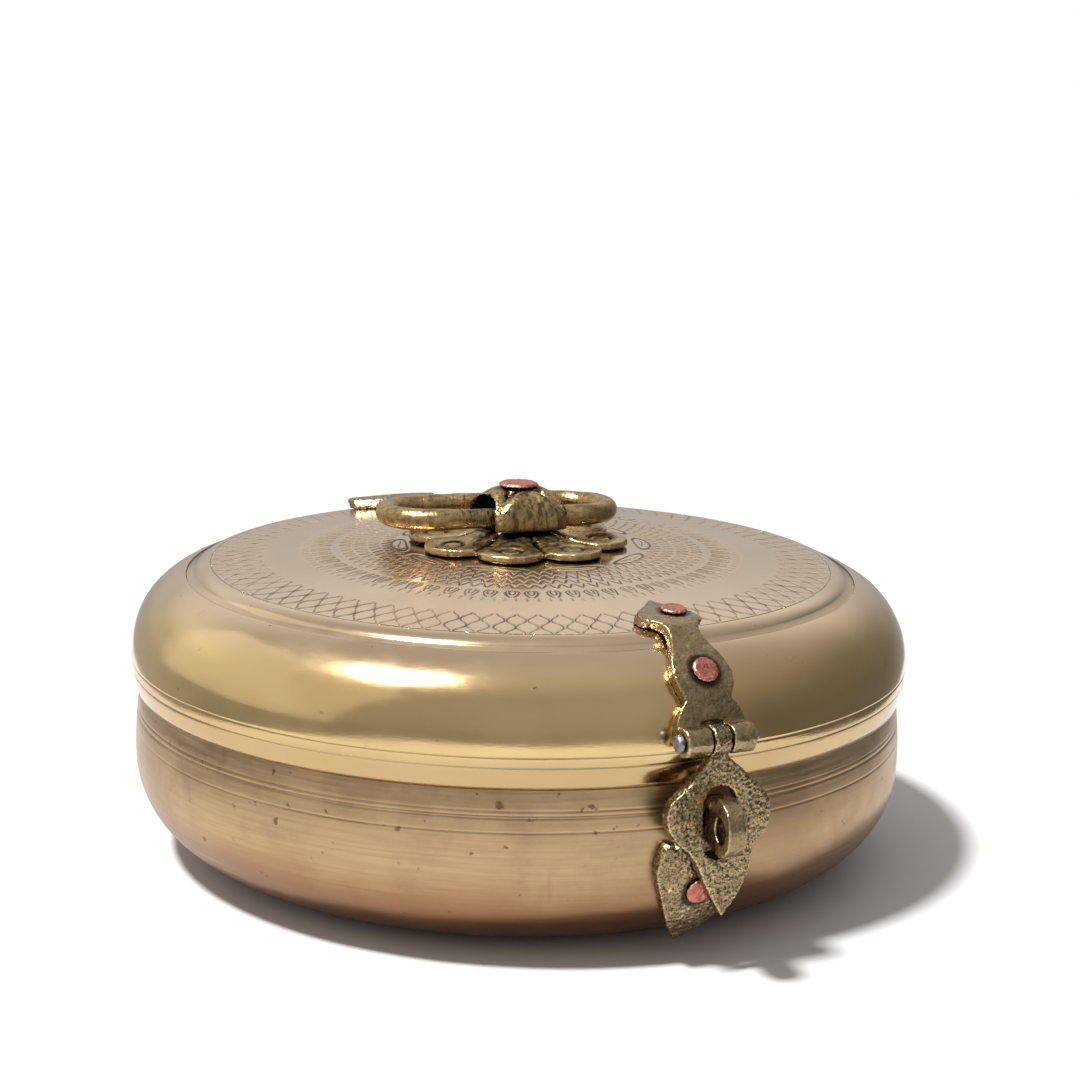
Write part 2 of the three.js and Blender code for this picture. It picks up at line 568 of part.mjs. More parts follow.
const planShape = new THREE.Shape(arcSteps(28, 0, 2 * Math.PI, (t) => new THREE.Vector2(
  (knobL / 2) * roundTo(Math.cos(t), planPower[0]),
  (knobD / 2) * roundTo(Math.sin(t), planPower[1]),
)).slice(0, -1));
const tunnelStart = basis([0, 1, 0], [0, 0, 1], [1, 0, 0], [-knobL / 2 - 2, 0, 0]);
const knob = prism(archShape(knobD / 2, knobH, 2.6), knobL, acrossTunnel)
  .intersect(prism(archShape(knobL / 2, knobH + 0.4, 2.5), knobD, alongTunnel))
  .intersect(prism(planShape, knobH, new THREE.Matrix4()))
  .subtract(prism(archShape(TUNNEL.half, TUNNEL.height, 2.8, 2), knobL + 4, tunnelStart))
  .subtract(rod(RIVET_HOLE_R, [0, 0, -1], [0, 0, knobH + 2]));
add('handle_knob', knob, BRASS_CAST, knobGroup);

const knobTop = KNOB_BODY.z + knobH + 0.2;
const washerTop = domeZ(0) - LID_WALL - 0.4;
const washerBottom = washerTop - KNOB_RIVET.washerH;
const tailTop = washerBottom - GAP;
const tailEnd = tailTop - 1.3;
add('knob_rivet', revolve([
  [0, knobTop + KNOB_RIVET.headH], [KNOB_RIVET.headR - 0.7, knobTop + KNOB_RIVET.headH - 0.1],
  [KNOB_RIVET.headR, knobTop + 0.3], [KNOB_RIVET.headR, knobTop],
  [RIVET_SHANK_R, knobTop], [RIVET_SHANK_R, tailTop],
  [KNOB_RIVET.tailR, tailTop], [KNOB_RIVET.tailR - 0.8, tailEnd], [0, tailEnd],
], 18), COPPER, crest);
add('knob_washer', revolve([
  [RIVET_HOLE_R, washerTop], [KNOB_RIVET.washerR, washerTop],
  [KNOB_RIVET.washerR, washerBottom], [RIVET_HOLE_R, washerBottom], [RIVET_HOLE_R, washerTop],
], 18), BRASS_CAST, crest);

// The ring lies back from the tunnel; its group stands on the limb inside the knob.
const ringGroup = new THREE.Group();
ringGroup.rotation.z = RING.turn;
crest.add(ringGroup);
const ringTilt = new THREE.Group();
ringTilt.position.set(0, RING.limbAt, RING.z);
ringTilt.rotation.x = THREE.MathUtils.degToRad(RING.tilt);
ringGroup.add(ringTilt);
// One bend of the ring, with a short lap over each of the straight limbs that it joins.
function bend(side) {
  const middle = RING.shift + side * RING.halfStraight;
  const arc = arcSteps(12, 0, Math.PI, (t) => [
    middle + side * RING.bendR * Math.sin(t), RING.bendR * (1 - Math.cos(t)), 0,
  ]);
  const lapX = middle - side * RING.lap;
  const points = [[lapX, 0, 0], ...arc, [lapX, 2 * RING.bendR, 0]].map((p) => new THREE.Vector3(...p));
  const path = new THREE.CatmullRomCurve3(points, false, 'centripetal');
  const section = new THREE.Shape(arcSteps(10, 0, 2 * Math.PI, (t) =>
    new THREE.Vector2(RING.bendBarR * Math.cos(t), RING.bendBarR * Math.sin(t))).slice(0, -1));
  return solid(new THREE.ExtrudeGeometry(section, { steps: 18, extrudePath: path, bevelEnabled: false }));
}
function limb(y) {
  const [left, right] = [-1, 1].map((side) => RING.shift + side * RING.halfStraight);
  return rod(RING.limbR, [left, y, 0], [right, y, 0], 12);
}
const ring = bend(-1).add(bend(1)).add(limb(0)).add(limb(2 * RING.bendR));
add('handle_ring', ring, BRASS_CAST, ringTilt);

// ---------------------------------------------------------------- spice cups
// Outer or inner line of a cup from its foot up to its lip, inset by the wall.
function cupLine(inset) {
  const bowl = arcSteps(3, 0, Math.PI / 2, (t) => [
    CUP.footR + (CUP.r - 0.6 - CUP.footR - inset) * Math.sin(t),
    inset + (CUP.bowlZ - inset) * (1 - Math.cos(t)),
  ]);
  return [...bowl, [CUP.r - inset, CUP.height]];
}
const cupSteps = 18;
for (let i = 0; i < CUP.count; i += 1) {
  const turn = (Math.PI / 3) * i;
  const at = i === 0 ? 0 : CUP.ringR;
  const sheet = revolve([[0, 0], ...cupLine(0), ...cupLine(CUP.wall).reverse(), [0, CUP.wall]], cupSteps);
  const cup = add(`spice_cup_${i + 1}`, sheet, BRASS);
  cup.position.set(at * Math.cos(turn), at * Math.sin(turn), CUP.z);
}

export default box;
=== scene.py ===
"""Looks of a masala dabba: a round brass spice box with a hinged lid, a hasp and a ring handle.

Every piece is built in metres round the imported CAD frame. The origin is the centre of the flat
underside, the hasp faces -Y and the lid's hinge is at +Y.
"""

import math

import bpy
import numpy as np
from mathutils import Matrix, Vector


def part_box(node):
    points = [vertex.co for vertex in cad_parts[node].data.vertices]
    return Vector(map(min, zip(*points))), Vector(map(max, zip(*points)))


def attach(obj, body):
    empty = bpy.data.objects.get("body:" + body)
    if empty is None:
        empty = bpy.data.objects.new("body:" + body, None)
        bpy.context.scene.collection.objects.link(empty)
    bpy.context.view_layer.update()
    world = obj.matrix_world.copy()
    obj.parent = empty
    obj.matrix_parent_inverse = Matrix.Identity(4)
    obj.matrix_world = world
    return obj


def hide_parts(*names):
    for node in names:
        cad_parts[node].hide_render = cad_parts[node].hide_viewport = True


MM = 0.001
TAU = 2 * math.pi

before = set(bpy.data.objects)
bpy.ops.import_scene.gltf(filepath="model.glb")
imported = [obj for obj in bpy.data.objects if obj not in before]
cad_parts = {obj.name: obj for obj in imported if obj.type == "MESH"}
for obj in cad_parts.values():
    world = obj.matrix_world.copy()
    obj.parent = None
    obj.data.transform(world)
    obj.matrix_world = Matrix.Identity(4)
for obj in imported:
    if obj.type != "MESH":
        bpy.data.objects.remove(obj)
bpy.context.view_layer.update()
rng = np.random.default_rng(27)

# ---------------------------------------------------------------- sizes, in millimetres
BASE_FOOT_R = 80.4
BASE_WALL_R = 118.9
BASE_WALL_Z = 31.9
BASE_RIM_R = 117.5
BASE_RIM_Z = 51.9
BASE_CORNER_POWER = 0.95
BASE_WALL = 1.8

COLLAR_R = 115.2
COLLAR_WALL = 1.4
COLLAR_Z = (48.6, 60.0)

LID_RIM_R = 118.3
LID_RIM_Z = 52.2
LID_WIDE_R = 120.0
LID_WIDE_Z = 63.0
SHOULDER = (23.0, 23.9)
GROOVE_R = 103.3
ROLL = (95.6, 6.7, 3.75)   # where the crown's edge starts to roll over, and the roll's half axes
DOME_Z = 94.9
DOME_FALL = 6.35e-4
LID_WALL = 2.0
CREST_HOLE_R = 3.6

KNOB_AT = (-1.0, 0.6)
KNOB_TURN = math.radians(-3)
RING_TURN = math.radians(-9)
KNOB_Z = 100.3
TUNNEL = {"half": 10.8, "height": 9.2, "power": 2.8}   # arch that the ring runs through
PETALS = 8
PETAL_EYE_AT = 25.6
PETAL_EYE_R = 3.3
PETAL_PHASE = math.radians(15.5)
PETAL_TOP_Z = 96.8

EYE_HOLE = {"y": -132.9, "z": 42.9, "reach": 3.75}   # hole of the padlock eye
EYE_FOOT_Y = -126.5
RIVET_HEAD_REACH = 4.9   # how far a rivet's middle is from the rim of its head

RING_HALF = 20.5
RING_BEND_R = 14.6
RING_LIMB_R = 3.15
RING_BAR_R = 3.6
RING_LIMB_AT = -5.5
RING_Z = 103.4
RING_SHIFT = -4.2
RING_TILT = math.radians(-2)

CUP_R = 34.4
CUP_FOOT_R = 15.0
CUP_BOWL_Z = 18.0
CUP_WALL = 1.0
CUP_RING_R = 69.6
CUP_Z = 2.1

LID_LINES_Z = (57.6, 58.6, 61.6)          # turned lines round the lid
BASE_LINES_Z = (46.4, 45.0, 44.4, 40.2)  # turned lines round the base


# ---------------------------------------------------------------- node helpers
class Graph:
    """A material's node tree, with short calls for the nodes used here."""

    def __init__(self, name):
        self.material = bpy.data.materials.new(name)
        self.material.use_nodes = True
        self.tree = self.material.node_tree
        self.shader = self.tree.nodes["Principled BSDF"]

    def node(self, kind, **values):
        made = self.tree.nodes.new(kind)
        for key, value in values.items():
            if hasattr(made, key):
                setattr(made, key, value)
        return made

    def link(self, source, target):
        self.tree.links.new(source, target)

    def place(self, scale=(1, 1, 1)):
        """Where the surface is on the object, scaled along each axis."""
        coordinates = self.node("ShaderNodeTexCoord")
        mapping = self.node("ShaderNodeMapping")
        mapping.inputs["Scale"].default_value = scale
        self.link(coordinates.outputs["Object"], mapping.inputs["Vector"])
        return mapping.outputs["Vector"]

    def noise(self, scale, detail=4, rough=0.55, stretch=(1, 1, 1), distortion=0.0):
        made = self.node("ShaderNodeTexNoise")
        made.inputs["Scale"].default_value = scale
        made.inputs["Detail"].default_value = detail
        made.inputs["Roughness"].default_value = rough
        made.inputs["Distortion"].default_value = distortion
        self.link(self.place(stretch), made.inputs["Vector"])
        return made.outputs["Fac"]

    def ramp(self, source, low, high, out_low=0.0, out_high=1.0):
        """Maps low..high to out_low..out_high, and clamps."""
        made = self.node("ShaderNodeMapRange")
        made.interpolation_type = "SMOOTHSTEP"
        limits = {"From Min": low, "From Max": high, "To Min": out_low, "To Max": out_high}
        for key, value in limits.items():
            made.inputs[key].default_value = value
        self.link(source, made.inputs["Value"])
        return made.outputs["Result"]

    def math(self, operation, a, b):
        made = self.node("ShaderNodeMath", operation=operation)
        for socket, value in zip(made.inputs, (a, b)):
            if isinstance(value, (int, float)):
                socket.default_value = value
            else:
                self.link(value, socket)
        return made.outputs["Value"]

    def mix(self, factor, a, b):
        """Blends colour a into colour b."""
        made = self.node("ShaderNodeMix", data_type="RGBA")
        colours = [s for s in made.inputs if s.type == "RGBA"]
        if isinstance(factor, (int, float)):
            made.inputs["Factor"].default_value = factor
        else:
            self.link(factor, made.inputs["Factor"])
        for socket, value in zip(colours, (a, b)):
            if isinstance(value, tuple):
                socket.default_value = (*value, 1)
            else:
                self.link(value, socket)
        return [s for s in made.outputs if s.type == "RGBA"][0]

    def attribute(self, name):
        made = self.node("ShaderNodeAttribute")
        made.attribute_name = name
        return made.outputs["Fac"]

    def height(self):
        made = self.node("ShaderNodeSeparateXYZ")
        self.link(self.place(), made.inputs["Vector"])
        return made.outputs["Z"]

    def edges(self):
        return self.node("ShaderNodeNewGeometry").outputs["Pointiness"]

    def bumps(self, *layers):
        """Stacks bump layers of (height, distance in metres, strength)."""
        last = None
        for source, distance, strength in layers:
            made = self.node("ShaderNodeBump")
            made.inputs["Distance"].default_value = distance
            made.inputs["Strength"].default_value = strength
            self.link(source, made.inputs["Height"])
            if last is not None:
                self.link(last, made.inputs["Normal"])
            last = made.outputs["Normal"]
        self.link(last, self.shader.inputs["Normal"])

    def finish(self, colour, roughness):
        self.shader.inputs["Metallic"].default_value = 1.0
        self.link(colour, self.shader.inputs["Base Color"])
        self.link(roughness, self.shader.inputs["Roughness"])
        return self.material


# ---------------------------------------------------------------- materials
FRESH_BRASS = (0.80, 0.58, 0.28)
WARM_BRASS = (0.72, 0.50, 0.235)
HAZY_BRASS = (0.75, 0.57, 0.40)
SKIRT_BRASS = (0.46, 0.32, 0.165)
DULL_PATCH = (0.66, 0.50, 0.33)
RED_STAIN = (0.42, 0.20, 0.12)
DARK_SPECK = (0.20, 0.09, 0.05)
CHASED_CUT = (0.115, 0.085, 0.065)

LATHE_DARK = (0.45, 0.30, 0.165)
LATHE_LIGHT = (0.55, 0.385, 0.215)
BASE_CLOUD = (0.30, 0.185, 0.11)
BASE_FOOT_PATINA_AND_SHADE = (0.23, 0.10, 0.04)
BASE_DRIP = (0.30, 0.15, 0.085)
BASE_SPECK = (0.16, 0.07, 0.04)
TURNED_CUT = (0.12, 0.07, 0.04)

RUBBED_EDGE_AND_HIGHLIGHT = (0.88, 0.70, 0.42)
CAST_GOLD = (0.58, 0.41, 0.19)
FILE_STREAK = (0.07, 0.05, 0.03)
CAST_PIT = (0.035, 0.028, 0.022)
CAST_HOLLOW = (0.03, 0.023, 0.02)
GRIME_AND_SHADE = (0.022, 0.017, 0.014)


def polished_brass(name, fresh=FRESH_BRASS, hazy=HAZY_BRASS, haze_from=0.076, haze_to=0.088):
    """Lid brass: bright on the shoulder, hazy on the crown, darker low on the skirt, brown in the
    cuts, and painted dark as shade in the tuck under the crown's edge.
    """
    g = Graph(name)
    warm = g.mix(g.ramp(g.noise(22, 5), 0.4, 0.66), fresh, WARM_BRASS)
    height = g.height()
    haze = g.ramp(height, haze_from, haze_to)
    colour = g.mix(g.math("MULTIPLY", haze, 0.85), warm, hazy)
    # the skirt is made darker below a wavering height of about 60 to 68 mm
    wavering = g.math("ADD", height, g.math("MULTIPLY", g.noise(20, 4), 0.006))
    colour = g.mix(g.ramp(wavering, 0.060, 0.068, 0.75, 0), colour, SKIRT_BRASS)
    patches = g.ramp(g.noise(9, 3, 0.6), 0.5, 0.72)
    colour = g.mix(g.math("MULTIPLY", patches, 0.3), colour, DULL_PATCH)
    specks = g.ramp(g.noise(330, 2, 0.5), 0.735, 0.79)
    colour = g.mix(g.math("MULTIPLY", specks, 0.6), colour, DARK_SPECK)
    stains = g.ramp(g.noise(60, 4, 0.7), 0.69, 0.76)
    colour = g.mix(g.math("MULTIPLY", stains, 0.4), colour, RED_STAIN)
    cut = g.attribute("cut")
    colour = g.mix(g.ramp(cut, 0.15, 0.85), colour, CHASED_CUT)
    smears = g.ramp(g.noise(30, 6, 0.6, (1, 1, 3)), 0.35, 0.75, 0.12, 0.24)
    rough = g.math("ADD", smears, g.math("MULTIPLY", haze, 0.02))
    rough = g.math("ADD", rough, g.math("MULTIPLY", cut, 0.35))
    scratches = g.noise(260, 3, 0.5, (1, 1, 9))
    waves, grit = g.noise(14, 2), g.noise(1500, 2)
    g.bumps((waves, 0.002, 0.05), (scratches, 0.00006, 0.22), (grit, 0.00003, 0.2))
    return g.finish(colour, rough)


def satin_brass(name):
    """Base brass: turned to a satin, tarnished pink-brown and darker towards the foot, partly patina
    and partly painted shade from the shadowed floor it reflects.
    """
    g = Graph(name)
    lathe = g.noise(55, 6, 0.62, (0.5, 0.5, 16))
    colour = g.mix(g.ramp(lathe, 0.3, 0.7), LATHE_DARK, LATHE_LIGHT)
    clouds = g.ramp(g.noise(24, 6, 0.68), 0.42, 0.66)
    colour = g.mix(g.math("MULTIPLY", clouds, 0.55), colour, BASE_CLOUD)
    # darker towards the foot: partly patina, partly painted shade of the shadowed floor
    wavering = g.math("ADD", g.height(), g.math("MULTIPLY", g.noise(26, 4), 0.012))
    foot = g.ramp(wavering, 0.016, 0.038, 1, 0)
    colour = g.mix(g.math("MULTIPLY", foot, 0.9), colour, BASE_FOOT_PATINA_AND_SHADE)
    drips = g.ramp(g.noise(70, 3, 0.6, (1, 1, 0.25)), 0.62, 0.72)
    colour = g.mix(g.math("MULTIPLY", drips, 0.6), colour, BASE_DRIP)
    specks = g.ramp(g.noise(260, 3, 0.5), 0.685, 0.74)
    colour = g.mix(g.math("MULTIPLY", specks, 0.75), colour, BASE_SPECK)
    cut = g.attribute("cut")
    colour = g.mix(g.ramp(cut, 0.2, 0.9, 0, 0.85), colour, TURNED_CUT)
    rough = g.ramp(lathe, 0.25, 0.75, 0.27, 0.42)
    waves, grit = g.noise(12, 2), g.noise(1200, 3)
    g.bumps((waves, 0.002, 0.05), (lathe, 0.00012, 0.2), (grit, 0.00004, 0.3))
    return g.finish(colour, rough)


def cast_brass(name, face=(0.42, 0.31, 0.17), grain=(1, 1, 1), pitted=1.0, streaked=0.0, grime_and_shade_in_hollows=0.85):
    """Cast and filed brass: near black in the pits, darker in the hollows with grime and painted
    shade, pale on the edges with rubbing and a painted highlight, and flecked with painted glints.
    """
    g = Graph(name)
    cloud = g.ramp(g.noise(170, 5, 0.65), 0.36, 0.68)
    colour = g.mix(cloud, tuple(0.66 * c for c in face), face)
    colour = g.mix(g.ramp(g.noise(60, 3), 0.5, 0.7, 0, 0.4), colour, CAST_GOLD)
    streaks = g.ramp(g.noise(700, 3, 0.6, grain), 0.44, 0.62)
    colour = g.mix(g.math("MULTIPLY", streaks, streaked), colour, FILE_STREAK)
    pits = g.ramp(g.noise(1700, 3, 0.65), 0.40, 0.50, 1, 0)
    colour = g.mix(g.math("MULTIPLY", pits, 0.9 * pitted), colour, CAST_PIT)
    # painted glints: pale specks that stand in for tiny highlights
    glints = g.ramp(g.noise(1500, 2, 0.6, (1.1, 0.9, 1.3)), 0.60, 0.68)
    colour = g.mix(g.math("MULTIPLY", glints, 0.55 * pitted), colour, RUBBED_EDGE_AND_HIGHLIGHT)
    # convex edges painted pale: partly rubbed wear, partly a painted highlight
    edge = g.ramp(g.edges(), 0.52, 0.58)
    colour = g.mix(g.math("MULTIPLY", edge, 0.8), colour, RUBBED_EDGE_AND_HIGHLIGHT)
    # hollows painted dark: partly grime, partly painted shade
    hollow = g.ramp(g.edges(), 0.44, 0.49, 1, 0)
    colour = g.mix(g.math("MULTIPLY", hollow, grime_and_shade_in_hollows), colour, CAST_HOLLOW)
    # the attribute read here darkens crevices, seams and recesses: partly grime, partly painted shade
    grime_and_shade = g.attribute("grime_and_shade")
    colour = g.mix(g.ramp(grime_and_shade, 0.1, 0.9, 0, 0.94), colour, GRIME_AND_SHADE)
    rough = g.ramp(g.noise(420, 4), 0.35, 0.7, 0.24, 0.42)
    file_marks = g.noise(520, 3, 0.6, grain)
    lumps, grit = g.noise(240, 3), g.noise(1700, 3)
    g.bumps((lumps, 0.0004, 0.3), (file_marks, 0.00022, 0.5), (grit, 0.00012, 0.6 * pitted))
    return g.finish(colour, rough)


def copper(name):
    """Beaten copper, dull in the dents and pale on its rim, partly rubbed and partly a painted
    highlight.
    """
    g = Graph(name)
    colour = g.mix(g.ramp(g.noise(500, 4), 0.35, 0.65), (0.50, 0.16, 0.125), (0.70, 0.27, 0.20))
    colour = g.mix(g.ramp(g.noise(900, 3), 0.62, 0.72, 0, 0.7), colour, (0.16, 0.06, 0.05))
    # rim painted pale: rubbed wear and a painted highlight
    edge = g.ramp(g.edges(), 0.52, 0.58)
    colour = g.mix(g.math("MULTIPLY", edge, 0.6), colour, (0.95, 0.66, 0.56))
    g.bumps((g.noise(420, 3), 0.0003, 0.5), (g.noise(1600, 3), 0.0001, 0.5))
    return g.finish(colour, g.ramp(g.noise(700, 3), 0.3, 0.7, 0.32, 0.52))


def iron(name):
    """Peened iron pins, grey with a little rust."""
    g = Graph(name)
    colour = g.mix(g.ramp(g.noise(600, 4), 0.4, 0.65), (0.20, 0.21, 0.23), (0.46, 0.48, 0.53))
    colour = g.mix(g.ramp(g.noise(300, 3), 0.6, 0.7, 0, 0.6), colour, (0.20, 0.10, 0.06))
    g.bumps((g.noise(500, 3), 0.0003, 0.5), (g.noise(1800, 2), 0.0001, 0.4))
    return g.finish(colour, g.ramp(g.noise(900, 3), 0.3, 0.7, 0.34, 0.55))


LID_BRASS = polished_brass("lid_brass")
CUP_BRASS = polished_brass(
    "cup_brass", fresh=(0.84, 0.66, 0.33), hazy=(0.78, 0.60, 0.32), haze_from=0.3, haze_to=0.4)
BASE_BRASS = satin_brass("base_brass")
PITTED_BRASS = cast_brass("pitted_brass")
WORN_BRASS = cast_brass("worn_brass", face=(0.46, 0.34, 0.18), pitted=0.4, grime_and_shade_in_hollows=0.6)
FILED_BRASS = cast_brass(
    "filed_brass", face=(0.62, 0.43, 0.18), grain=(1, 1, 0.15), pitted=0.2, streaked=0.75, grime_and_shade_in_hollows=0.5)
PETAL_BRASS = cast_brass("petal_brass", face=(0.72, 0.53, 0.26), pitted=0.25, grime_and_shade_in_hollows=0.5)
RING_BRASS = cast_brass(
    "ring_brass", face=(0.66, 0.45, 0.20), grain=(0.25, 1, 1), pitted=0.3, streaked=0.45, grime_and_shade_in_hollows=0.3)
COPPER = copper("hammered_copper")
IRON = iron("peened_iron")


# ---------------------------------------------------------------- mesh helpers
def add_piece(name, mesh, body, slot, material, *nodes):
    """Links a finished mesh, puts it on its body and hides the CAD nodes it stands for."""
    piece = bpy.data.objects.new(name, mesh)
    bpy.context.scene.collection.objects.link(piece)
    mesh.materials.clear()
    mesh.materials.append(material)
    mesh.polygons.foreach_set("use_smooth", np.ones(len(mesh.polygons), bool))
    mesh.update()
    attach(piece, body)
    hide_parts(*nodes)
    return piece


def paint(mesh, name, values):
    """Stores a number at each vertex, which the material reads by this name."""
    attribute = mesh.attributes.new(name, "FLOAT", "POINT")
    attribute.data.foreach_set("value", values.astype(np.float32).ravel())


def grid_mesh(name, points, closed):
    """Mesh of a grid of points (rings, steps, 3) that meets itself round the steps.

    With closed, the last ring joins the first too.
    """
    rings, steps, _ = points.shape
    first = np.arange(rings if closed else rings - 1)[:, None]
    step = np.arange(steps)[None, :]
    after, beside = (first + 1) % rings, (step + 1) % steps
    corners = [(first, step), (first, beside), (after, beside), (after, step)]
    quads = np.stack([ring * steps + along for ring, along in corners], -1)
    mesh = bpy.data.meshes.new(name)
    mesh.from_pydata((points.reshape(-1, 3) * MM).tolist(), [], quads.reshape(-1, 4).tolist())
    return mesh


def turned(profile, steps):
    """Grid of points from a profile of [radius, height] pairs, turned about +Z."""
    profile = np.asarray(profile, float)
    angle = np.arange(steps) * TAU / steps
    r = profile[:, :1]
    return np.stack([r * np.cos(angle), r * np.sin(angle), np.repeat(profile[:, 1:], steps, 1)], -1)


def normals_of(profile):
    """Outward normals of a profile that runs from the foot up and in over the top."""
    tangent = np.gradient(np.asarray(profile, float), axis=0)
    normal = np.stack([tangent[:, 1], -tangent[:, 0]], 1)
    return normal / np.linalg.norm(normal, axis=1)[:, None]


def push(points, profile, amount):
    """Moves each point out along the profile's normal by amount (rings, steps)."""
    normal = normals_of(profile)
    angle = np.arange(points.shape[1]) * TAU / points.shape[1]
    points[..., 0] += amount * normal[:, :1] * np.cos(angle)
    points[..., 1] += amount * normal[:, :1] * np.sin(angle)
    points[..., 2] += amount * normal[:, 1:]
    return points


def arc_length(profile):
    """Distance along the profile to each of its points."""
    steps = np.linalg.norm(np.diff(np.asarray(profile, float), axis=0), axis=1)
    return np.concatenate([[0], np.cumsum(steps)])


def planishing(profile, steps, amount, seed):
    """Slow uneven waves of hand-beaten sheet, never outwards of the true surface."""
    waves = np.random.default_rng(seed)
    angle = np.arange(steps)[None, :] * TAU / steps
    s = arc_length(profile)[:, None]
    total = np.zeros((len(s), steps))
    for _ in range(26):
        turns = waves.integers(2, 26)
        pitch = waves.uniform(18, 90)
        phase, lean = waves.uniform(0, TAU, 2)
        total += np.sin(turns * angle + phase) * np.cos(TAU * s / pitch + lean) / math.sqrt(turns)
    total = total / np.abs(total).max()
    return amount * (total - 1) / 2


def line_cuts(profile, steps, heights, width=0.26):
    """How deep, 0 to 1, the turned lines at these heights cut the profile; they fade in and out."""
    z = np.asarray(profile, float)[:, 1][:, None]
    angle = np.arange(steps)[None, :] * TAU / steps
    cut = np.zeros((len(z), steps))
    for i, height in enumerate(heights):
        wander = height + 0.18 * np.sin(angle + i) + 0.1 * np.sin(3 * angle + 2 * i)
        strength = 0.62 + 0.38 * np.sin(2 * angle + 1.7 * i) * np.cos(angle * (1 + i % 3) + i)
        cut = np.maximum(cut, strength * np.exp(-(((z - wander) / width) ** 2)))
    return cut


def refine(profile, spacing, *bands):
    """Resamples a profile to this spacing, or closer within bands of (low, high, spacing)."""
    profile = np.asarray(profile, float)
    s = arc_length(profile)
    at, place = [0.0], 0.0
    while place < s[-1]:
        z = np.interp(place, s, profile[:, 1])
        near = [gap for low, high, gap in bands if low <= z <= high]
        place += min(near + [spacing])
        at.append(min(place, s[-1]))
    return np.stack([np.interp(at, s, profile[:, 0]), np.interp(at, s, profile[:, 1])], 1)


# ---------------------------------------------------------------- profiles
def base_outside():
    """Outside of the base, from the flat foot round the corner and up to the rim."""
    t = np.linspace(0, math.pi / 2, 60)
    corner = np.stack([
        BASE_FOOT_R + (BASE_WALL_R - BASE_FOOT_R) * np.sin(t) ** BASE_CORNER_POWER,
        BASE_WALL_Z * (1 - np.clip(np.cos(t), 0, 1) ** BASE_CORNER_POWER),
    ], 1)
    k = np.linspace(0, 1, 24)[1:]
    wall = np.stack([
        BASE_WALL_R + (BASE_RIM_R - BASE_WALL_R) * k ** 2,
        BASE_WALL_Z + (BASE_RIM_Z - BASE_WALL_Z) * k,
    ], 1)
    return np.concatenate([corner, wall])


def shoulder_outside():
    """Outside of the lid, from its rim up the skirt and over the shoulder to the groove."""
    k = np.linspace(0, 1, 16)
    skirt = np.stack([
        LID_WIDE_R - (LID_WIDE_R - LID_RIM_R) * (1 - k) ** 2,
        LID_RIM_Z + (LID_WIDE_Z - LID_RIM_Z) * k,
    ], 1)
    end = math.acos((GROOVE_R - LID_WIDE_R + SHOULDER[0]) / SHOULDER[0])
    t = np.linspace(0, end, 44)[1:]
    shoulder = np.stack([
        LID_WIDE_R - SHOULDER[0] * (1 - np.cos(t)),
        LID_WIDE_Z + SHOULDER[1] * np.sin(t),
    ], 1)
    return np.concatenate([skirt, shoulder])


def dome_z(r):
    """Height of the crown at this radius."""
    return DOME_Z - DOME_FALL * r * r


def inset(profile, wall):
    """The profile moved inwards by the wall's thickness."""
    return np.asarray(profile, float) - wall * normals_of(profile)


# ---------------------------------------------------------------- chased ornament on the crown
CHASE_DEPTH = 0.26
BORDER = {"inner": 79.5, "outer": 95.5, "repeats": 84, "waves": 1.5}
TEARS = {"inner": 58.5, "outer": 65.5, "repeats": 66}
TICKS = {"inner": 64.8, "outer": 69.0, "repeats": 132}
CHEVRONS = ((56.6, 88), (52.2, 84), (47.8, 78), (43.6, 72))
CHEVRON_LENGTH = 4.3
LEAVES = {"at": 38.0, "repeats": 10, "half": 8.4, "width": 2.3}


def stroke(distance, width):
    """Section of one chisel line, 1 along its middle."""
    return np.exp(-((distance / width) ** 2))


def fade(value, low, high, edge):
    """1 between low and high, falling to 0 over the edge."""
    return np.clip((value - low) / edge, 0, 1) * np.clip((high - value) / edge, 0, 1)


def cell(angle, repeats, hand):
    """Place across one repeat, -0.5 to 0.5, with each repeat set a little off by hand."""
    turn = angle / TAU * repeats
    index = np.floor(turn).astype(int) % repeats
    offset = hand.uniform(-0.07, 0.07, repeats)[index]
    force = hand.uniform(0.7, 1.0, repeats)[index]
    return turn - np.floor(turn) - 0.5 + offset, force


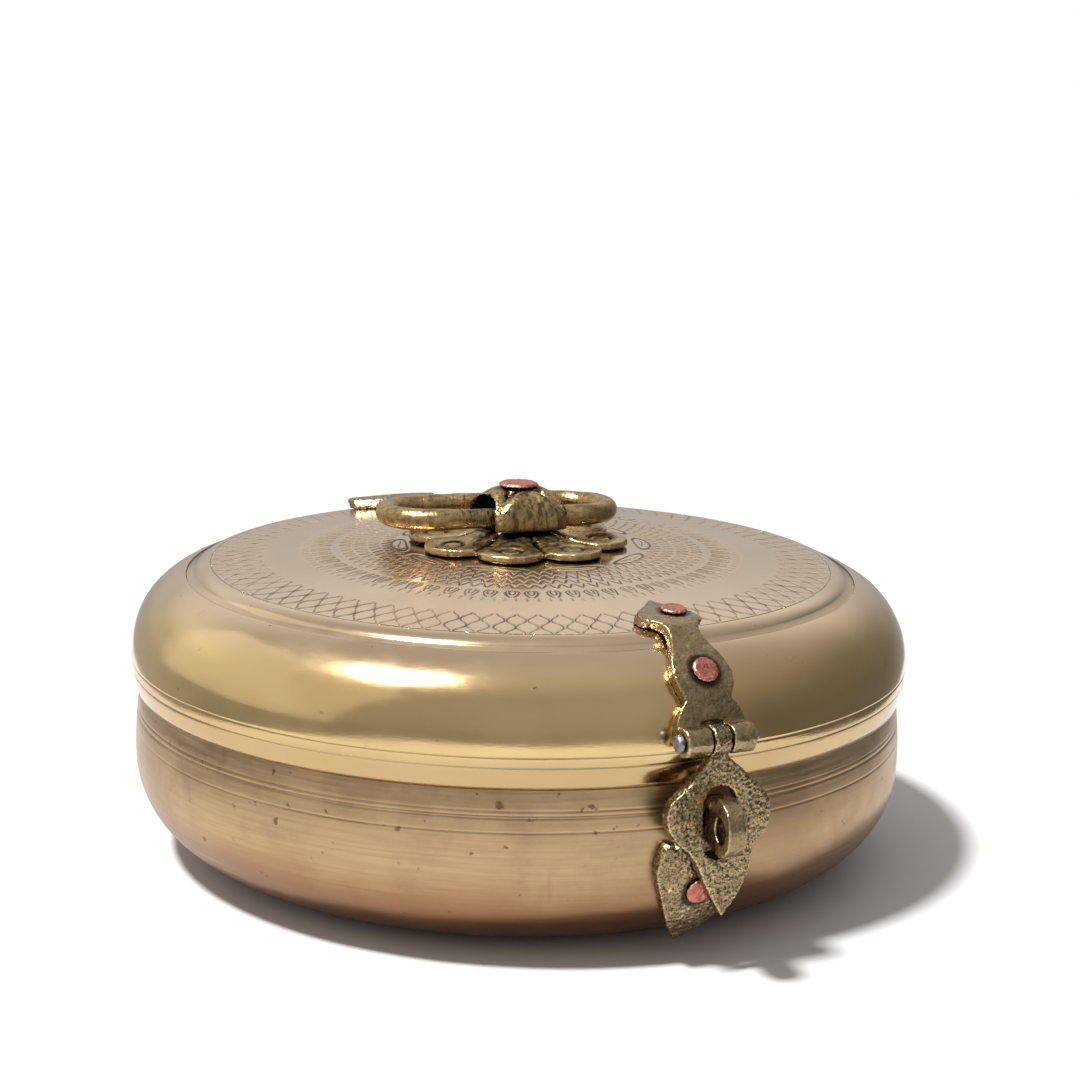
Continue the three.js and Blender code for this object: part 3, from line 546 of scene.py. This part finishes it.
def chasing(r, angle):
    """Depth, 0 to 1, of the chased pattern at each point of the crown."""
    hand = np.random.default_rng(8)
    depth = np.zeros(np.broadcast(r, angle).shape)

    # border: two mirrored wavy lines that meet in a net of lozenges
    pitch = TAU * (BORDER["inner"] + BORDER["outer"]) / 2 / BORDER["repeats"]
    v = (r - BORDER["inner"]) / (BORDER["outer"] - BORDER["inner"])
    u, force = cell(angle, BORDER["repeats"], hand)
    bend = 0.25 + 0.20 * np.cos(TAU * v * BORDER["waves"])
    net = np.maximum(stroke((np.abs(u) - bend) * pitch, 0.30), 0)
    broken = 0.62 + 0.38 * np.abs(np.cos(TAU * v * BORDER["waves"])) ** 0.6
    depth = np.maximum(depth, net * broken * force * fade(v, 0, 1, 0.06))

    # tear row: a tear drawn twice, its point outwards
    pitch = TAU * 62 / TEARS["repeats"]
    u, force = cell(angle, TEARS["repeats"], hand)
    v = (r - TEARS["inner"]) / (TEARS["outer"] - TEARS["inner"])
    for half, reach in ((0.40, 1.0), (0.20, 0.68)):
        tear = half * np.sqrt(np.clip(1 - v / reach, 0, 1)) * np.clip(0.35 + 2.4 * v, 0, 1)
        inside = fade(v, 0, reach, 0.1)
        depth = np.maximum(depth, stroke((np.abs(u) - tear) * pitch, 0.30) * force * inside)

    # ticks that ray out of the tear row
    pitch = TAU * 66 / TICKS["repeats"]
    u, force = cell(angle, TICKS["repeats"], hand)
    ticks = stroke(u * pitch, 0.3) * fade(r, TICKS["inner"], TICKS["outer"], 1.4) * force
    depth = np.maximum(depth, 0.7 * ticks)

    # rows of chevrons
    for outer, repeats in CHEVRONS:
        pitch = TAU * outer / repeats
        u, force = cell(angle, repeats, hand)
        v = (outer - r) / CHEVRON_LENGTH
        line = stroke((np.abs(u) - 0.44 * v) * pitch, 0.32)
        depth = np.maximum(depth, line * fade(v, 0, 1, 0.12) * force)

    # leaves round the rosette
    turn = angle / TAU * LEAVES["repeats"]
    u = (turn - np.floor(turn) - 0.5) * TAU * LEAVES["at"] / LEAVES["repeats"]
    v = r - LEAVES["at"]
    rim = np.sqrt((u / LEAVES["half"]) ** 2 + (v / LEAVES["width"]) ** 2)
    depth = np.maximum(depth, stroke((rim - 1) * LEAVES["width"], 0.34) * 0.9)
    vein = stroke(v - 0.5 * np.sin(u / 2.4), 0.3) * fade(np.abs(u), -1, 5.4, 1.2)
    return np.maximum(depth, 0.8 * vein)


def build_crown():
    """The dome and its rounded step, with the chased pattern pressed into the sheet."""
    fine = 0.42   # spacing where the pattern is
    radii = np.concatenate([
        [CREST_HOLE_R], np.arange(8, 35, 3.5), np.arange(35, 70, fine), np.arange(70, 79, 1.4),
        np.arange(79, ROLL[0], fine), [ROLL[0]],
    ])
    dome = np.stack([radii, dome_z(radii)], 1)
    t = np.linspace(0.12, 1.25, 18)[1:]
    step = np.stack([
        ROLL[0] + ROLL[1] * (np.sin(t) - math.sin(t[0])),
        dome_z(ROLL[0]) - ROLL[2] * (math.cos(t[0]) - np.cos(t)),
    ], 1)
    groove = np.array([
        [102.1, 86.1], [102.5, 85.75], [102.9, 85.62], [103.3, 85.68], [103.8, 85.66], [104.2, 85.2],
    ])
    profile = np.concatenate([dome, step, groove])[::-1]
    steps = 1800
    points = turned(profile, steps)
    angle = np.arange(steps)[None, :] * TAU / steps
    cut = chasing(profile[:, :1], angle)
    beaten = planishing(profile, steps, 0.22, 5)
    points = push(points, profile, beaten - CHASE_DEPTH * cut)
    cut = np.maximum(cut, 0.3 * np.exp(-(((profile[:, :1] - 102.7) / 0.5) ** 2)))
    mesh = grid_mesh("lid_crown", points, False)
    paint(mesh, "cut", cut)
    return add_piece("lid_crown", mesh, "lid", "brass_lid", LID_BRASS)


def build_lid_shell():
    """The shoulder and skirt with their turned lines, and the plain inside of the lid."""
    steps = 480
    outside = refine(shoulder_outside(), 1.5, (56.8, 62.6, 0.2))
    dome_r = np.array([96.0, 80.0, 60.0, 40.0, 20.0, CREST_HOLE_R])
    whole = np.concatenate([outside, [[103.1, 85.9], [102.5, 84.8], [101.5, 84.4]]])
    under = inset(np.concatenate([shoulder_outside(), [[101.5, 87.6], [99.0, 88.6]]]), LID_WALL)
    inside = np.concatenate([np.stack([dome_r, dome_z(dome_r) - LID_WALL], 1)[::-1], under[::-1]])
    points = turned(whole, steps)
    cut = np.zeros(points.shape[:2])
    cut[: len(outside)] = 0.6 * line_cuts(outside, steps, LID_LINES_Z)
    # painted shade: the tuck that runs under the crown's edge is coloured as dark as a cut
    cut[len(outside):] = 0.9
    relief = planishing(whole, steps, 0.28, 12) - 0.2 * cut
    relief[len(outside):] = 0
    points = push(points, whole, relief)
    lip = turned([[LID_RIM_R - 0.5, LID_RIM_Z], [LID_RIM_R - 1.6, LID_RIM_Z + 0.05]], steps)
    points = np.concatenate([turned(inside, steps), lip[::-1], points])
    cut = np.concatenate([np.zeros((len(inside) + 2, steps)), cut])
    mesh = grid_mesh("lid_body", points, False)
    paint(mesh, "cut", cut)
    return add_piece("lid_body", mesh, "lid", "brass_lid", LID_BRASS, "lid_shell")


def build_base():
    """The bowl: beaten and turned outside, plain inside, with a true flat underside."""
    steps = 480
    outside = refine(base_outside(), 1.5, (37.5, 48.6, 0.22))
    rim = np.array([[BASE_RIM_R - 0.5, BASE_RIM_Z], [BASE_RIM_R - BASE_WALL, BASE_RIM_Z - 0.1]])
    inner = inset(refine(base_outside(), 3.0), BASE_WALL)[::-1]
    foot = np.array([[0.5, 0.0], [40.0, 0.0], [BASE_FOOT_R - 6, 0.0]])
    floor = np.array([[BASE_FOOT_R - 8, BASE_WALL], [40.0, BASE_WALL], [0.5, BASE_WALL]])
    cut = 0.6 * line_cuts(outside, steps, BASE_LINES_Z)
    relief = planishing(outside, steps, 0.3, 31) - 0.2 * cut
    relief[:6] = 0   # the bowl stands on these rings
    shell = push(turned(outside, steps), outside, relief)
    rest = [turned(profile, steps) for profile in (rim, inner[1:], floor)]
    points = np.concatenate([turned(foot, steps), shell, *rest])
    cut_depth = np.zeros(points.shape[:2])
    cut_depth[len(foot): len(foot) + len(outside)] = cut
    mesh = grid_mesh("base_shell", points, True)
    paint(mesh, "cut", cut_depth)
    return add_piece("base_shell", mesh, "base", "brass_base", BASE_BRASS, "base_bowl")


def build_collar():
    """The ring inside the base's rim, with its top edge eased."""
    low, high = COLLAR_Z
    r0, r1 = COLLAR_R - COLLAR_WALL, COLLAR_R
    profile = [
        (r1, low), (r1, low + 2), (r1, high - 1.6), (r1 - 0.15, high - 0.6), (r1 - 0.45, high - 0.1),
        (r0 + 0.35, high), (r0, high - 0.5), (r0, high - 2), (r0, low + 2), (r0, low),
    ]
    points = turned(profile, 360)
    mesh = grid_mesh("seating_collar", points, True)
    paint(mesh, "cut", np.zeros(points.shape[:2]))
    return add_piece("seating_collar", mesh, "base", "brass_base", BASE_BRASS, "base_collar")


def build_cup(index):
    """A spun cup with a rolled lip and a turned line under it."""
    t = np.linspace(0, math.pi / 2, 16)
    bowl_r = CUP_R - 0.7
    outside = np.concatenate([
        [[0.4, 0.0], [CUP_FOOT_R - 2.5, 0.0]],
        np.stack([CUP_FOOT_R + (bowl_r - CUP_FOOT_R) * np.sin(t), CUP_BOWL_Z * (1 - np.cos(t))], 1),
        [[bowl_r + 0.1, 30.0], [bowl_r + 0.1, 30.5], [bowl_r - 0.1, 30.8], [bowl_r + 0.1, 31.1]],
        [[bowl_r + 0.15, 35.6]],
    ])
    roll = [
        (CUP_R - 0.4, 36.0), (CUP_R - 0.05, 36.6), (CUP_R - 0.05, 37.3), (CUP_R - 0.5, 37.9),
        (CUP_R - 1.3, 37.9), (CUP_R - 1.75, 37.2), (CUP_R - 1.7, 36.2),
    ]
    inner_r = bowl_r - CUP_WALL
    inside = np.stack([
        CUP_FOOT_R + (inner_r - CUP_FOOT_R) * np.sin(t),
        CUP_WALL + (CUP_BOWL_Z - CUP_WALL) * (1 - np.cos(t)),
    ], 1)[::-1]
    floor = [[CUP_FOOT_R - 3, CUP_WALL], [0.4, CUP_WALL]]
    profile = np.concatenate([outside, roll, inside, floor])
    points = turned(profile, 120)
    angle = TAU * index / 6
    reach = 0.0 if index == 0 else CUP_RING_R
    points += np.array([reach * math.cos(angle), reach * math.sin(angle), CUP_Z])
    name = f"cup_shell_{index + 1}"
    mesh = grid_mesh(name, points, True)
    paint(mesh, "cut", np.zeros(points.shape[:2]))
    return add_piece(name, mesh, f"cup_{index + 1}", "brass_lid", CUP_BRASS, f"spice_cup_{index + 1}")


# ---------------------------------------------------------------- cast pieces
def texture(kind, scale, contrast=1.0, **values):
    """A procedural height field; scale is the size of its lumps in metres."""
    made = bpy.data.textures.new(f"{kind.lower()}_{scale}", kind)
    made.noise_scale = scale
    made.contrast = contrast
    for key, value in values.items():
        setattr(made, key, value)
    return made


LUMPS = texture("CLOUDS", 0.0045, noise_depth=2)
PITS = texture("CLOUDS", 0.0011, 2.2, noise_depth=2, noise_type="HARD_NOISE")


def recast(node, name, body, slot, material, voxel=0.38, smooth=5, lumps=0.25, pits=0.22, shape=None):
    """A copy of a CAD node with its corners worn round and a cast surface, all in the mesh.

    shape takes the points and normals, in millimetres, and gives back moved points and their
    darkening, which is grime and painted shade.
    """
    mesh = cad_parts[node].data.copy()
    piece = bpy.data.objects.new(name, mesh)
    bpy.context.scene.collection.objects.link(piece)
    remesh = piece.modifiers.new("remesh", "REMESH")
    remesh.mode = "VOXEL"
    remesh.voxel_size = voxel * MM
    soften = piece.modifiers.new("soften", "SMOOTH")
    soften.factor = 0.5
    soften.iterations = smooth
    for picture, amount, middle in ((LUMPS, lumps, 0.5), (PITS, -pits, 0.35)):
        if amount:
            press = piece.modifiers.new("press", "DISPLACE")
            press.texture = picture
            press.texture_coords = "LOCAL"
            press.strength = amount * MM
            press.mid_level = middle
    worn = piece.evaluated_get(bpy.context.evaluated_depsgraph_get())
    made = bpy.data.meshes.new_from_object(worn)
    bpy.data.objects.remove(piece)
    made.name = name
    if shape is not None:
        co = np.zeros(len(made.vertices) * 3, np.float32)
        made.vertices.foreach_get("co", co)
        normal = np.zeros(len(made.vertices) * 3, np.float32)
        made.vertices.foreach_get("normal", normal)
        moved, grime_and_shade = shape(co.reshape(-1, 3) / MM, normal.reshape(-1, 3))
        made.vertices.foreach_set("co", (moved * MM).astype(np.float32).ravel())
        paint(made, "grime_and_shade", grime_and_shade)
    return add_piece(name, made, body, slot, material, node)


def grime_and_shade_round(*rivets):
    """Shape that moves nothing and darkens the metal round the rivets' heads, with grime and painted
    shade.
    """
    boxes = [np.array([tuple(corner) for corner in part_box(rivet)]) for rivet in rivets]
    centres = [box.sum(axis=0) / 2 / MM for box in boxes]

    def shape(p, n):
        grime_and_shade = np.zeros(len(p))
        for centre in centres:
            past = np.linalg.norm(p - centre, axis=1) - RIVET_HEAD_REACH
            grime_and_shade = np.maximum(grime_and_shade, 0.8 * np.exp(-((np.clip(past, 0, None) / 1.1) ** 2)))
        return p, grime_and_shade

    return shape


def punched_petals(p, n):
    """Presses a ringed eye into each petal, dishes the petal round it and cuts between petals."""
    x, y = p[:, 0] - KNOB_AT[0], p[:, 1] - KNOB_AT[1]
    reach = np.hypot(x, y)
    on_top = (n[:, 2] > 0.4) & (p[:, 2] > PETAL_TOP_Z - 1.2)
    sink, grime_and_shade = np.zeros(len(p)), np.zeros(len(p))
    for i in range(PETALS):
        turn = PETAL_PHASE + TAU * i / PETALS
        d = np.hypot(x - PETAL_EYE_AT * math.cos(turn), y - PETAL_EYE_AT * math.sin(turn))
        groove = stroke(d - PETAL_EYE_R, 0.7)
        sink += 0.62 * groove + 0.12 * stroke(d, 1.8) - 0.25 * stroke(d - 6.4, 2.4)
        seam = turn + math.pi / PETALS
        across = -x * math.sin(seam) + y * math.cos(seam)
        ahead = x * math.cos(seam) + y * math.sin(seam)
        cut = stroke(across, 0.9) * (ahead > 12)
        sink += 0.5 * cut
        grime_and_shade = np.maximum(grime_and_shade, np.maximum(groove, 0.9 * cut))
    # darkening: grime and painted shade in the eye rings and seams; painted shade round the knob's
    # foot and on the petals' low sides by the lid
    grime_and_shade = np.where(on_top, grime_and_shade, 0)
    grime_and_shade = np.maximum(grime_and_shade, 0.75 * np.clip((15.5 - reach) / 3.0, 0, 1))
    low = np.clip((PETAL_TOP_Z - 1.0 - p[:, 2]) / 1.2, 0, 1)
    moved = p.copy()
    moved[:, 2] -= np.where(on_top, sink, 0)
    return moved, np.maximum(grime_and_shade, 0.85 * low)


def carved_knob(p, n):
    """Cuts a valley down each corner of the knob and crowns the faces between them."""
    x, y = p[:, 0] - KNOB_AT[0], p[:, 1] - KNOB_AT[1]
    c, s = math.cos(KNOB_TURN), math.sin(KNOB_TURN)
    u, v = x * c + y * s, -x * s + y * c
    z = p[:, 2] - KNOB_Z
    reach = np.hypot(u, v)
    off_corner = np.abs(np.abs(u) - np.abs(v)) / math.sqrt(2)
    high = np.clip((z - 3.2) / 4.5, 0, 1) * np.clip((reach - 4.5) / 3.0, 0, 1)
    line = stroke(off_corner, 1.9) * high
    brow = stroke(off_corner - 4.0, 1.6) * high
    n_v = -n[:, 0] * s + n[:, 1] * c
    power = TUNNEL["power"]
    arch = (np.abs(v) / TUNNEL["half"]) ** power + (np.abs(z) / TUNNEL["height"]) ** power
    inside = (arch < 1.2) & (n_v * v + n[:, 2] * z < 0)
    moved = p - n * np.where(inside, 0, 2.3 * line - 0.4 * brow)[:, None]
    # darkening: grime and painted shade in the corner valleys and round the rivet; painted shade
    # inside the tunnel and at the knob's foot
    grime_and_shade = np.maximum(0.95 * stroke(off_corner, 0.9) * high, np.where(inside, 0.85, 0))
    grime_and_shade = np.maximum(grime_and_shade, 0.8 * np.clip((2.2 - z) / 2.2, 0, 1))
    grime_and_shade = np.maximum(grime_and_shade, 0.7 * np.clip((8.2 - reach) / 1.4, 0, 1) * (z > 6))
    return moved, grime_and_shade


def holed_eye(p, n):
    """Moves nothing, and darkens the inside of the eye's hole and its foot with painted shade and
    grime.
    """
    inward = np.hypot(p[:, 1] - EYE_HOLE["y"], p[:, 2] - EYE_HOLE["z"]) < EYE_HOLE["reach"]
    foot = np.clip((p[:, 1] - EYE_FOOT_Y) / 2.0, 0, 1)
    return p, 0.7 * np.maximum(inward, foot)


def build_castings():
    small = {"voxel": 0.3, "smooth": 2, "lumps": 0.05, "pits": 0.05}
    castings = (
        ("front_strap", "front_strap_cast", "lid", WORN_BRASS,
         {"pits": 0.14, "shape": grime_and_shade_round("front_strap_rivet_1", "front_strap_rivet_2")}),
        ("rear_strap", "rear_strap_cast", "lid", WORN_BRASS,
         {"voxel": 0.45, "shape": grime_and_shade_round("rear_strap_rivet_1", "rear_strap_rivet_2")}),
        ("hasp_plate", "hasp_cast", "hasp", PITTED_BRASS, {"pits": 0.34}),
        ("staple_plate", "staple_plate_cast", "base", PITTED_BRASS,
         {"pits": 0.3, "shape": grime_and_shade_round("staple_rivet")}),
        ("staple_eye", "staple_eye_cast", "base", WORN_BRASS,
         {"voxel": 0.3, "pits": 0.1, "shape": holed_eye}),
        ("staple_washer", "staple_washer_cast", "base", PITTED_BRASS, small),
        ("rear_leaf", "rear_leaf_cast", "base", PITTED_BRASS,
         {"voxel": 0.45, "shape": grime_and_shade_round("rear_leaf_rivet_1", "rear_leaf_rivet_2")}),
        ("rosette", "rosette_cast", "lid", PETAL_BRASS,
         {"voxel": 0.36, "pits": 0.1, "lumps": 0.2, "shape": punched_petals}),
        ("handle_knob", "knob_cast", "lid", FILED_BRASS,
         {"voxel": 0.36, "smooth": 8, "pits": 0.12, "shape": carved_knob}),
        ("knob_washer", "knob_washer_cast", "lid", FILED_BRASS, small),
    )
    for node, name, body, material, surface in castings:
        recast(node, name, body, "brass_cast", material, **surface)


def build_rivets():
    """Copper rivets, whose heads and tails are beaten, and the two iron pins."""
    rivets = {
        "staple_rivet": "base", "rear_leaf_rivet_1": "base", "rear_leaf_rivet_2": "base",
        "front_strap_rivet_1": "lid", "front_strap_rivet_2": "lid",
        "rear_strap_rivet_1": "lid", "rear_strap_rivet_2": "lid", "knob_rivet": "lid",
    }
    beaten = {"voxel": 0.22, "smooth": 3}
    for node, body in rivets.items():
        recast(node, f"{node}_copper", body, "copper", COPPER, lumps=0.16, pits=0.12, **beaten)
    for node in ("front_pin", "rear_pin"):
        recast(node, f"{node}_iron", "lid", "iron", IRON, lumps=0.12, pits=0.1, **beaten)


# ---------------------------------------------------------------- ring
def ring_line(count):
    """Centre line of the ring in its own frame: two straights joined by two half circles."""
    arc = math.pi * RING_BEND_R
    straight = 2 * RING_HALF
    total = 2 * (arc + straight)
    s = np.arange(count) * total / count
    points = np.zeros((count, 2))
    for i, place in enumerate(s):
        if place < straight:
            points[i] = (-RING_HALF + place, 0)
        elif place < straight + arc:
            a = (place - straight) / RING_BEND_R
            points[i] = (RING_HALF + RING_BEND_R * math.sin(a), RING_BEND_R * (1 - math.cos(a)))
        elif place < 2 * straight + arc:
            points[i] = (RING_HALF - (place - straight - arc), 2 * RING_BEND_R)
        else:
            a = (place - 2 * straight - arc) / RING_BEND_R
            points[i] = (-RING_HALF - RING_BEND_R * math.sin(a), RING_BEND_R * (1 + math.cos(a)))
    return points


def build_ring():
    """A bar bent to a ring, thinner where it runs in the knob, filed across its length."""
    count, around = 820, 56
    line = ring_line(count)
    tangent = np.roll(line, -1, 0) - np.roll(line, 1, 0)
    tangent /= np.linalg.norm(tangent, axis=1)[:, None]
    out = np.stack([tangent[:, 1], -tangent[:, 0]], 1)
    in_knob = np.clip((RING_HALF - 1.5 - np.abs(line[:, 0])) / 6, 0, 1) * (line[:, 1] < 1)
    radius = RING_BAR_R - (RING_BAR_R - RING_LIMB_R) * in_knob
    place = np.arange(count) * TAU / count
    for turns, amount in ((3, 0.05), (7, 0.05), (12, 0.04), (19, 0.03)):
        radius -= amount * (1 + np.sin(turns * place + turns))
    streaks = rng.normal(0, 1, (count, 8))
    across = np.linspace(0, 8, around)
    spread = np.stack([np.interp(across, np.arange(9), np.append(row, row[0])) for row in streaks])
    spread = (spread + np.roll(spread, 1, 0)) / 2
    angle = np.arange(around)[None, :] * TAU / around
    bar = radius[:, None] - 0.045 * np.abs(spread)
    side = bar * np.cos(angle)
    x = line[:, :1] + out[:, :1] * side + RING_SHIFT
    y = line[:, 1:] + out[:, 1:] * side
    z = bar * np.sin(angle)
    c, s = math.cos(RING_TILT), math.sin(RING_TILT)
    y, z = y * c - z * s + RING_LIMB_AT, y * s + z * c + RING_Z
    c, s = math.cos(RING_TURN), math.sin(RING_TURN)
    points = np.stack([x * c - y * s + KNOB_AT[0], x * s + y * c + KNOB_AT[1], z], -1)
    mesh = grid_mesh("ring_bar", points, True)
    # dark file streaks, plus painted shade on the part that runs inside the knob
    grime_and_shade = 0.55 * np.clip(np.abs(spread) - 0.55, 0, 1) + 0.5 * in_knob[:, None]
    paint(mesh, "grime_and_shade", np.clip(grime_and_shade, 0, 1))
    return add_piece("ring_bar", mesh, "handle", "brass_cast", RING_BRASS, "handle_ring")


# ---------------------------------------------------------------- studio
CAMERA_AT = (-0.2936, -0.6295, 0.2395)
CAMERA_TURN = (78.264, -1.209, -25.233)   # degrees
CAMERA_LENS = 76.1
CAMERA_AZIMUTH = -25                      # degrees from -Y
KEY = {"azimuth": -62, "elevation": 66, "strength": 4.1, "spread": 7}
LEFT_PANEL = {
    "azimuth": -85, "elevation": 28, "distance": 1.3, "width": 1.9, "height": 1.25,
    "radiance": 0.32, "tint": (1, 0.98, 0.93),
}
FLOOR_REACH = {"front": 0.50, "back": 0.42, "left": 0.24, "right": 0.23}   # metres from the middle
FLOOR_GREYS = ((0.71, 0.71, 0.71), (0.74, 0.74, 0.74))
# (height, level) of the grey walls on each side, from the floor to the ceiling
FRONT_WALL = ((0.0, 0.34), (0.2, 0.40), (0.5, 0.42), (0.8, 0.40), (1.0, 0.55))
BACK_WALL = ((0.0, 0.45), (0.12, 0.56), (0.25, 0.56), (0.42, 0.88), (0.75, 0.55))
RIGHT_WALL = ((0.0, 0.16), (0.25, 0.20), (0.5, 0.28), (0.8, 0.42), (1.0, 0.55))


def direction(azimuth, elevation):
    """Unit vector towards a light; azimuth 0 is the camera's side and -90 its left."""
    a, e = math.radians(azimuth + CAMERA_AZIMUTH), math.radians(elevation)
    return np.array([math.sin(a) * math.cos(e), -math.cos(a) * math.cos(e), math.sin(e)])


def aim(thing, at, target=(0, 0, 0.05)):
    """Puts a light at one point and turns it to face another."""
    thing.location = at
    thing.rotation_euler = (Vector(target) - Vector(at)).to_track_quat("-Z", "Y").to_euler()


def add_camera():
    data = bpy.data.cameras.new("camera")
    data.lens = CAMERA_LENS
    data.sensor_width = 36
    camera = bpy.data.objects.new("camera", data)
    camera.location = CAMERA_AT
    camera.rotation_euler = [math.radians(a) for a in CAMERA_TURN]
    bpy.context.scene.collection.objects.link(camera)
    bpy.context.scene.camera = camera


def add_sun(azimuth, elevation, strength, spread):
    data = bpy.data.lights.new("key", "SUN")
    data.energy = strength
    data.angle = math.radians(spread)
    lamp = bpy.data.objects.new("key", data)
    bpy.context.scene.collection.objects.link(lamp)
    aim(lamp, tuple(2 * direction(azimuth, elevation)), (0, 0, 0))


def add_panel(name, azimuth, elevation, distance, width, height, radiance, tint):
    """A soft panel that faces the box; radiance is how bright it looks in a mirror."""
    data = bpy.data.lights.new(name, "AREA")
    data.shape = "RECTANGLE"
    data.size, data.size_y = width, height
    data.energy = radiance * math.pi * width * height
    data.color = tint
    lamp = bpy.data.objects.new(name, data)
    bpy.context.scene.collection.objects.link(lamp)
    aim(lamp, tuple(distance * direction(azimuth, elevation)))
    lamp.visible_camera = False


def elevation_walls(tree, height, stops):
    """Grey walls whose brightness depends on how high they are; stops are (height, level)."""
    ramp = tree.nodes.new("ShaderNodeValToRGB")
    tree.links.new(height, ramp.inputs["Fac"])
    while len(ramp.color_ramp.elements) < len(stops):
        ramp.color_ramp.elements.new(0.5)
    for element, (at, level) in zip(ramp.color_ramp.elements, stops):
        element.position = at
        element.color = (level, level * 0.99, level * 0.98, 1)
    return ramp.outputs["Color"]


def add_world():
    """White behind the box, and the soft grey walls that the brass reflects."""
    world = bpy.data.worlds.new("studio")
    bpy.context.scene.world = world
    world.use_nodes = True
    tree = world.node_tree
    tree.nodes.clear()
    out = tree.nodes.new("ShaderNodeOutputWorld")
    coordinates = tree.nodes.new("ShaderNodeTexCoord")
    split = tree.nodes.new("ShaderNodeSeparateXYZ")
    tree.links.new(coordinates.outputs["Generated"], split.inputs["Vector"])
    height = split.outputs["Z"]
    walls = elevation_walls(tree, height, FRONT_WALL)
    back = elevation_walls(tree, height, BACK_WALL)
    right = elevation_walls(tree, height, RIGHT_WALL)
    for wall, azimuth, edges in ((back, 180, (0.0, 0.75)), (right, 100, (0.35, 0.9))):
        towards = tree.nodes.new("ShaderNodeVectorMath")
        towards.operation = "DOT_PRODUCT"
        towards.inputs[1].default_value = direction(azimuth, 0)
        tree.links.new(coordinates.outputs["Generated"], towards.inputs[0])
        blend = tree.nodes.new("ShaderNodeMapRange")
        blend.interpolation_type = "SMOOTHSTEP"
        blend.inputs["From Min"].default_value, blend.inputs["From Max"].default_value = edges
        tree.links.new(towards.outputs["Value"], blend.inputs["Value"])
        mix = tree.nodes.new("ShaderNodeMix")
        mix.data_type = "RGBA"
        tree.links.new(blend.outputs["Result"], mix.inputs["Factor"])
        colours = [socket for socket in mix.inputs if socket.type == "RGBA"]
        tree.links.new(walls, colours[0])
        tree.links.new(wall, colours[1])
        walls = [socket for socket in mix.outputs if socket.type == "RGBA"][0]
    light = tree.nodes.new("ShaderNodeBackground")
    tree.links.new(walls, light.inputs["Color"])
    backdrop = tree.nodes.new("ShaderNodeBackground")
    backdrop.inputs["Color"].default_value = (1, 1, 1, 1)
    seen = tree.nodes.new("ShaderNodeLightPath")
    choose = tree.nodes.new("ShaderNodeMixShader")
    tree.links.new(seen.outputs["Is Camera Ray"], choose.inputs[0])
    tree.links.new(light.outputs[0], choose.inputs[1])
    tree.links.new(backdrop.outputs[0], choose.inputs[2])
    tree.links.new(choose.outputs[0], out.inputs["Surface"])


def add_floor():
    g = Graph("pale_floor")
    colour = g.mix(g.noise(3, 3), *FLOOR_GREYS)
    g.link(colour, g.shader.inputs["Base Color"])
    g.shader.inputs["Roughness"].default_value = 0.75
    mesh = bpy.data.meshes.new("floor")
    front, left = direction(0, 0), direction(-90, 0)
    ahead, behind = FLOOR_REACH["front"] * front, -FLOOR_REACH["back"] * front
    to_left, to_right = FLOOR_REACH["left"] * left, -FLOOR_REACH["right"] * left
    corners = [ahead + to_left, ahead + to_right, behind + to_right, behind + to_left]
    mesh.from_pydata([tuple(corner) for corner in corners], [], [(0, 1, 2, 3)])
    mesh.materials.append(g.material)
    floor = bpy.data.objects.new("floor", mesh)
    bpy.context.scene.collection.objects.link(floor)


# ---------------------------------------------------------------- scene
bpy.context.scene.view_settings.view_transform = "Standard"
add_camera()
add_world()
add_floor()
add_sun(**KEY)
add_panel("left_panel", **LEFT_PANEL)

build_crown()
build_lid_shell()
build_base()
build_collar()
for cup_index in range(7):
    build_cup(cup_index)
build_castings()
build_rivets()
build_ring()
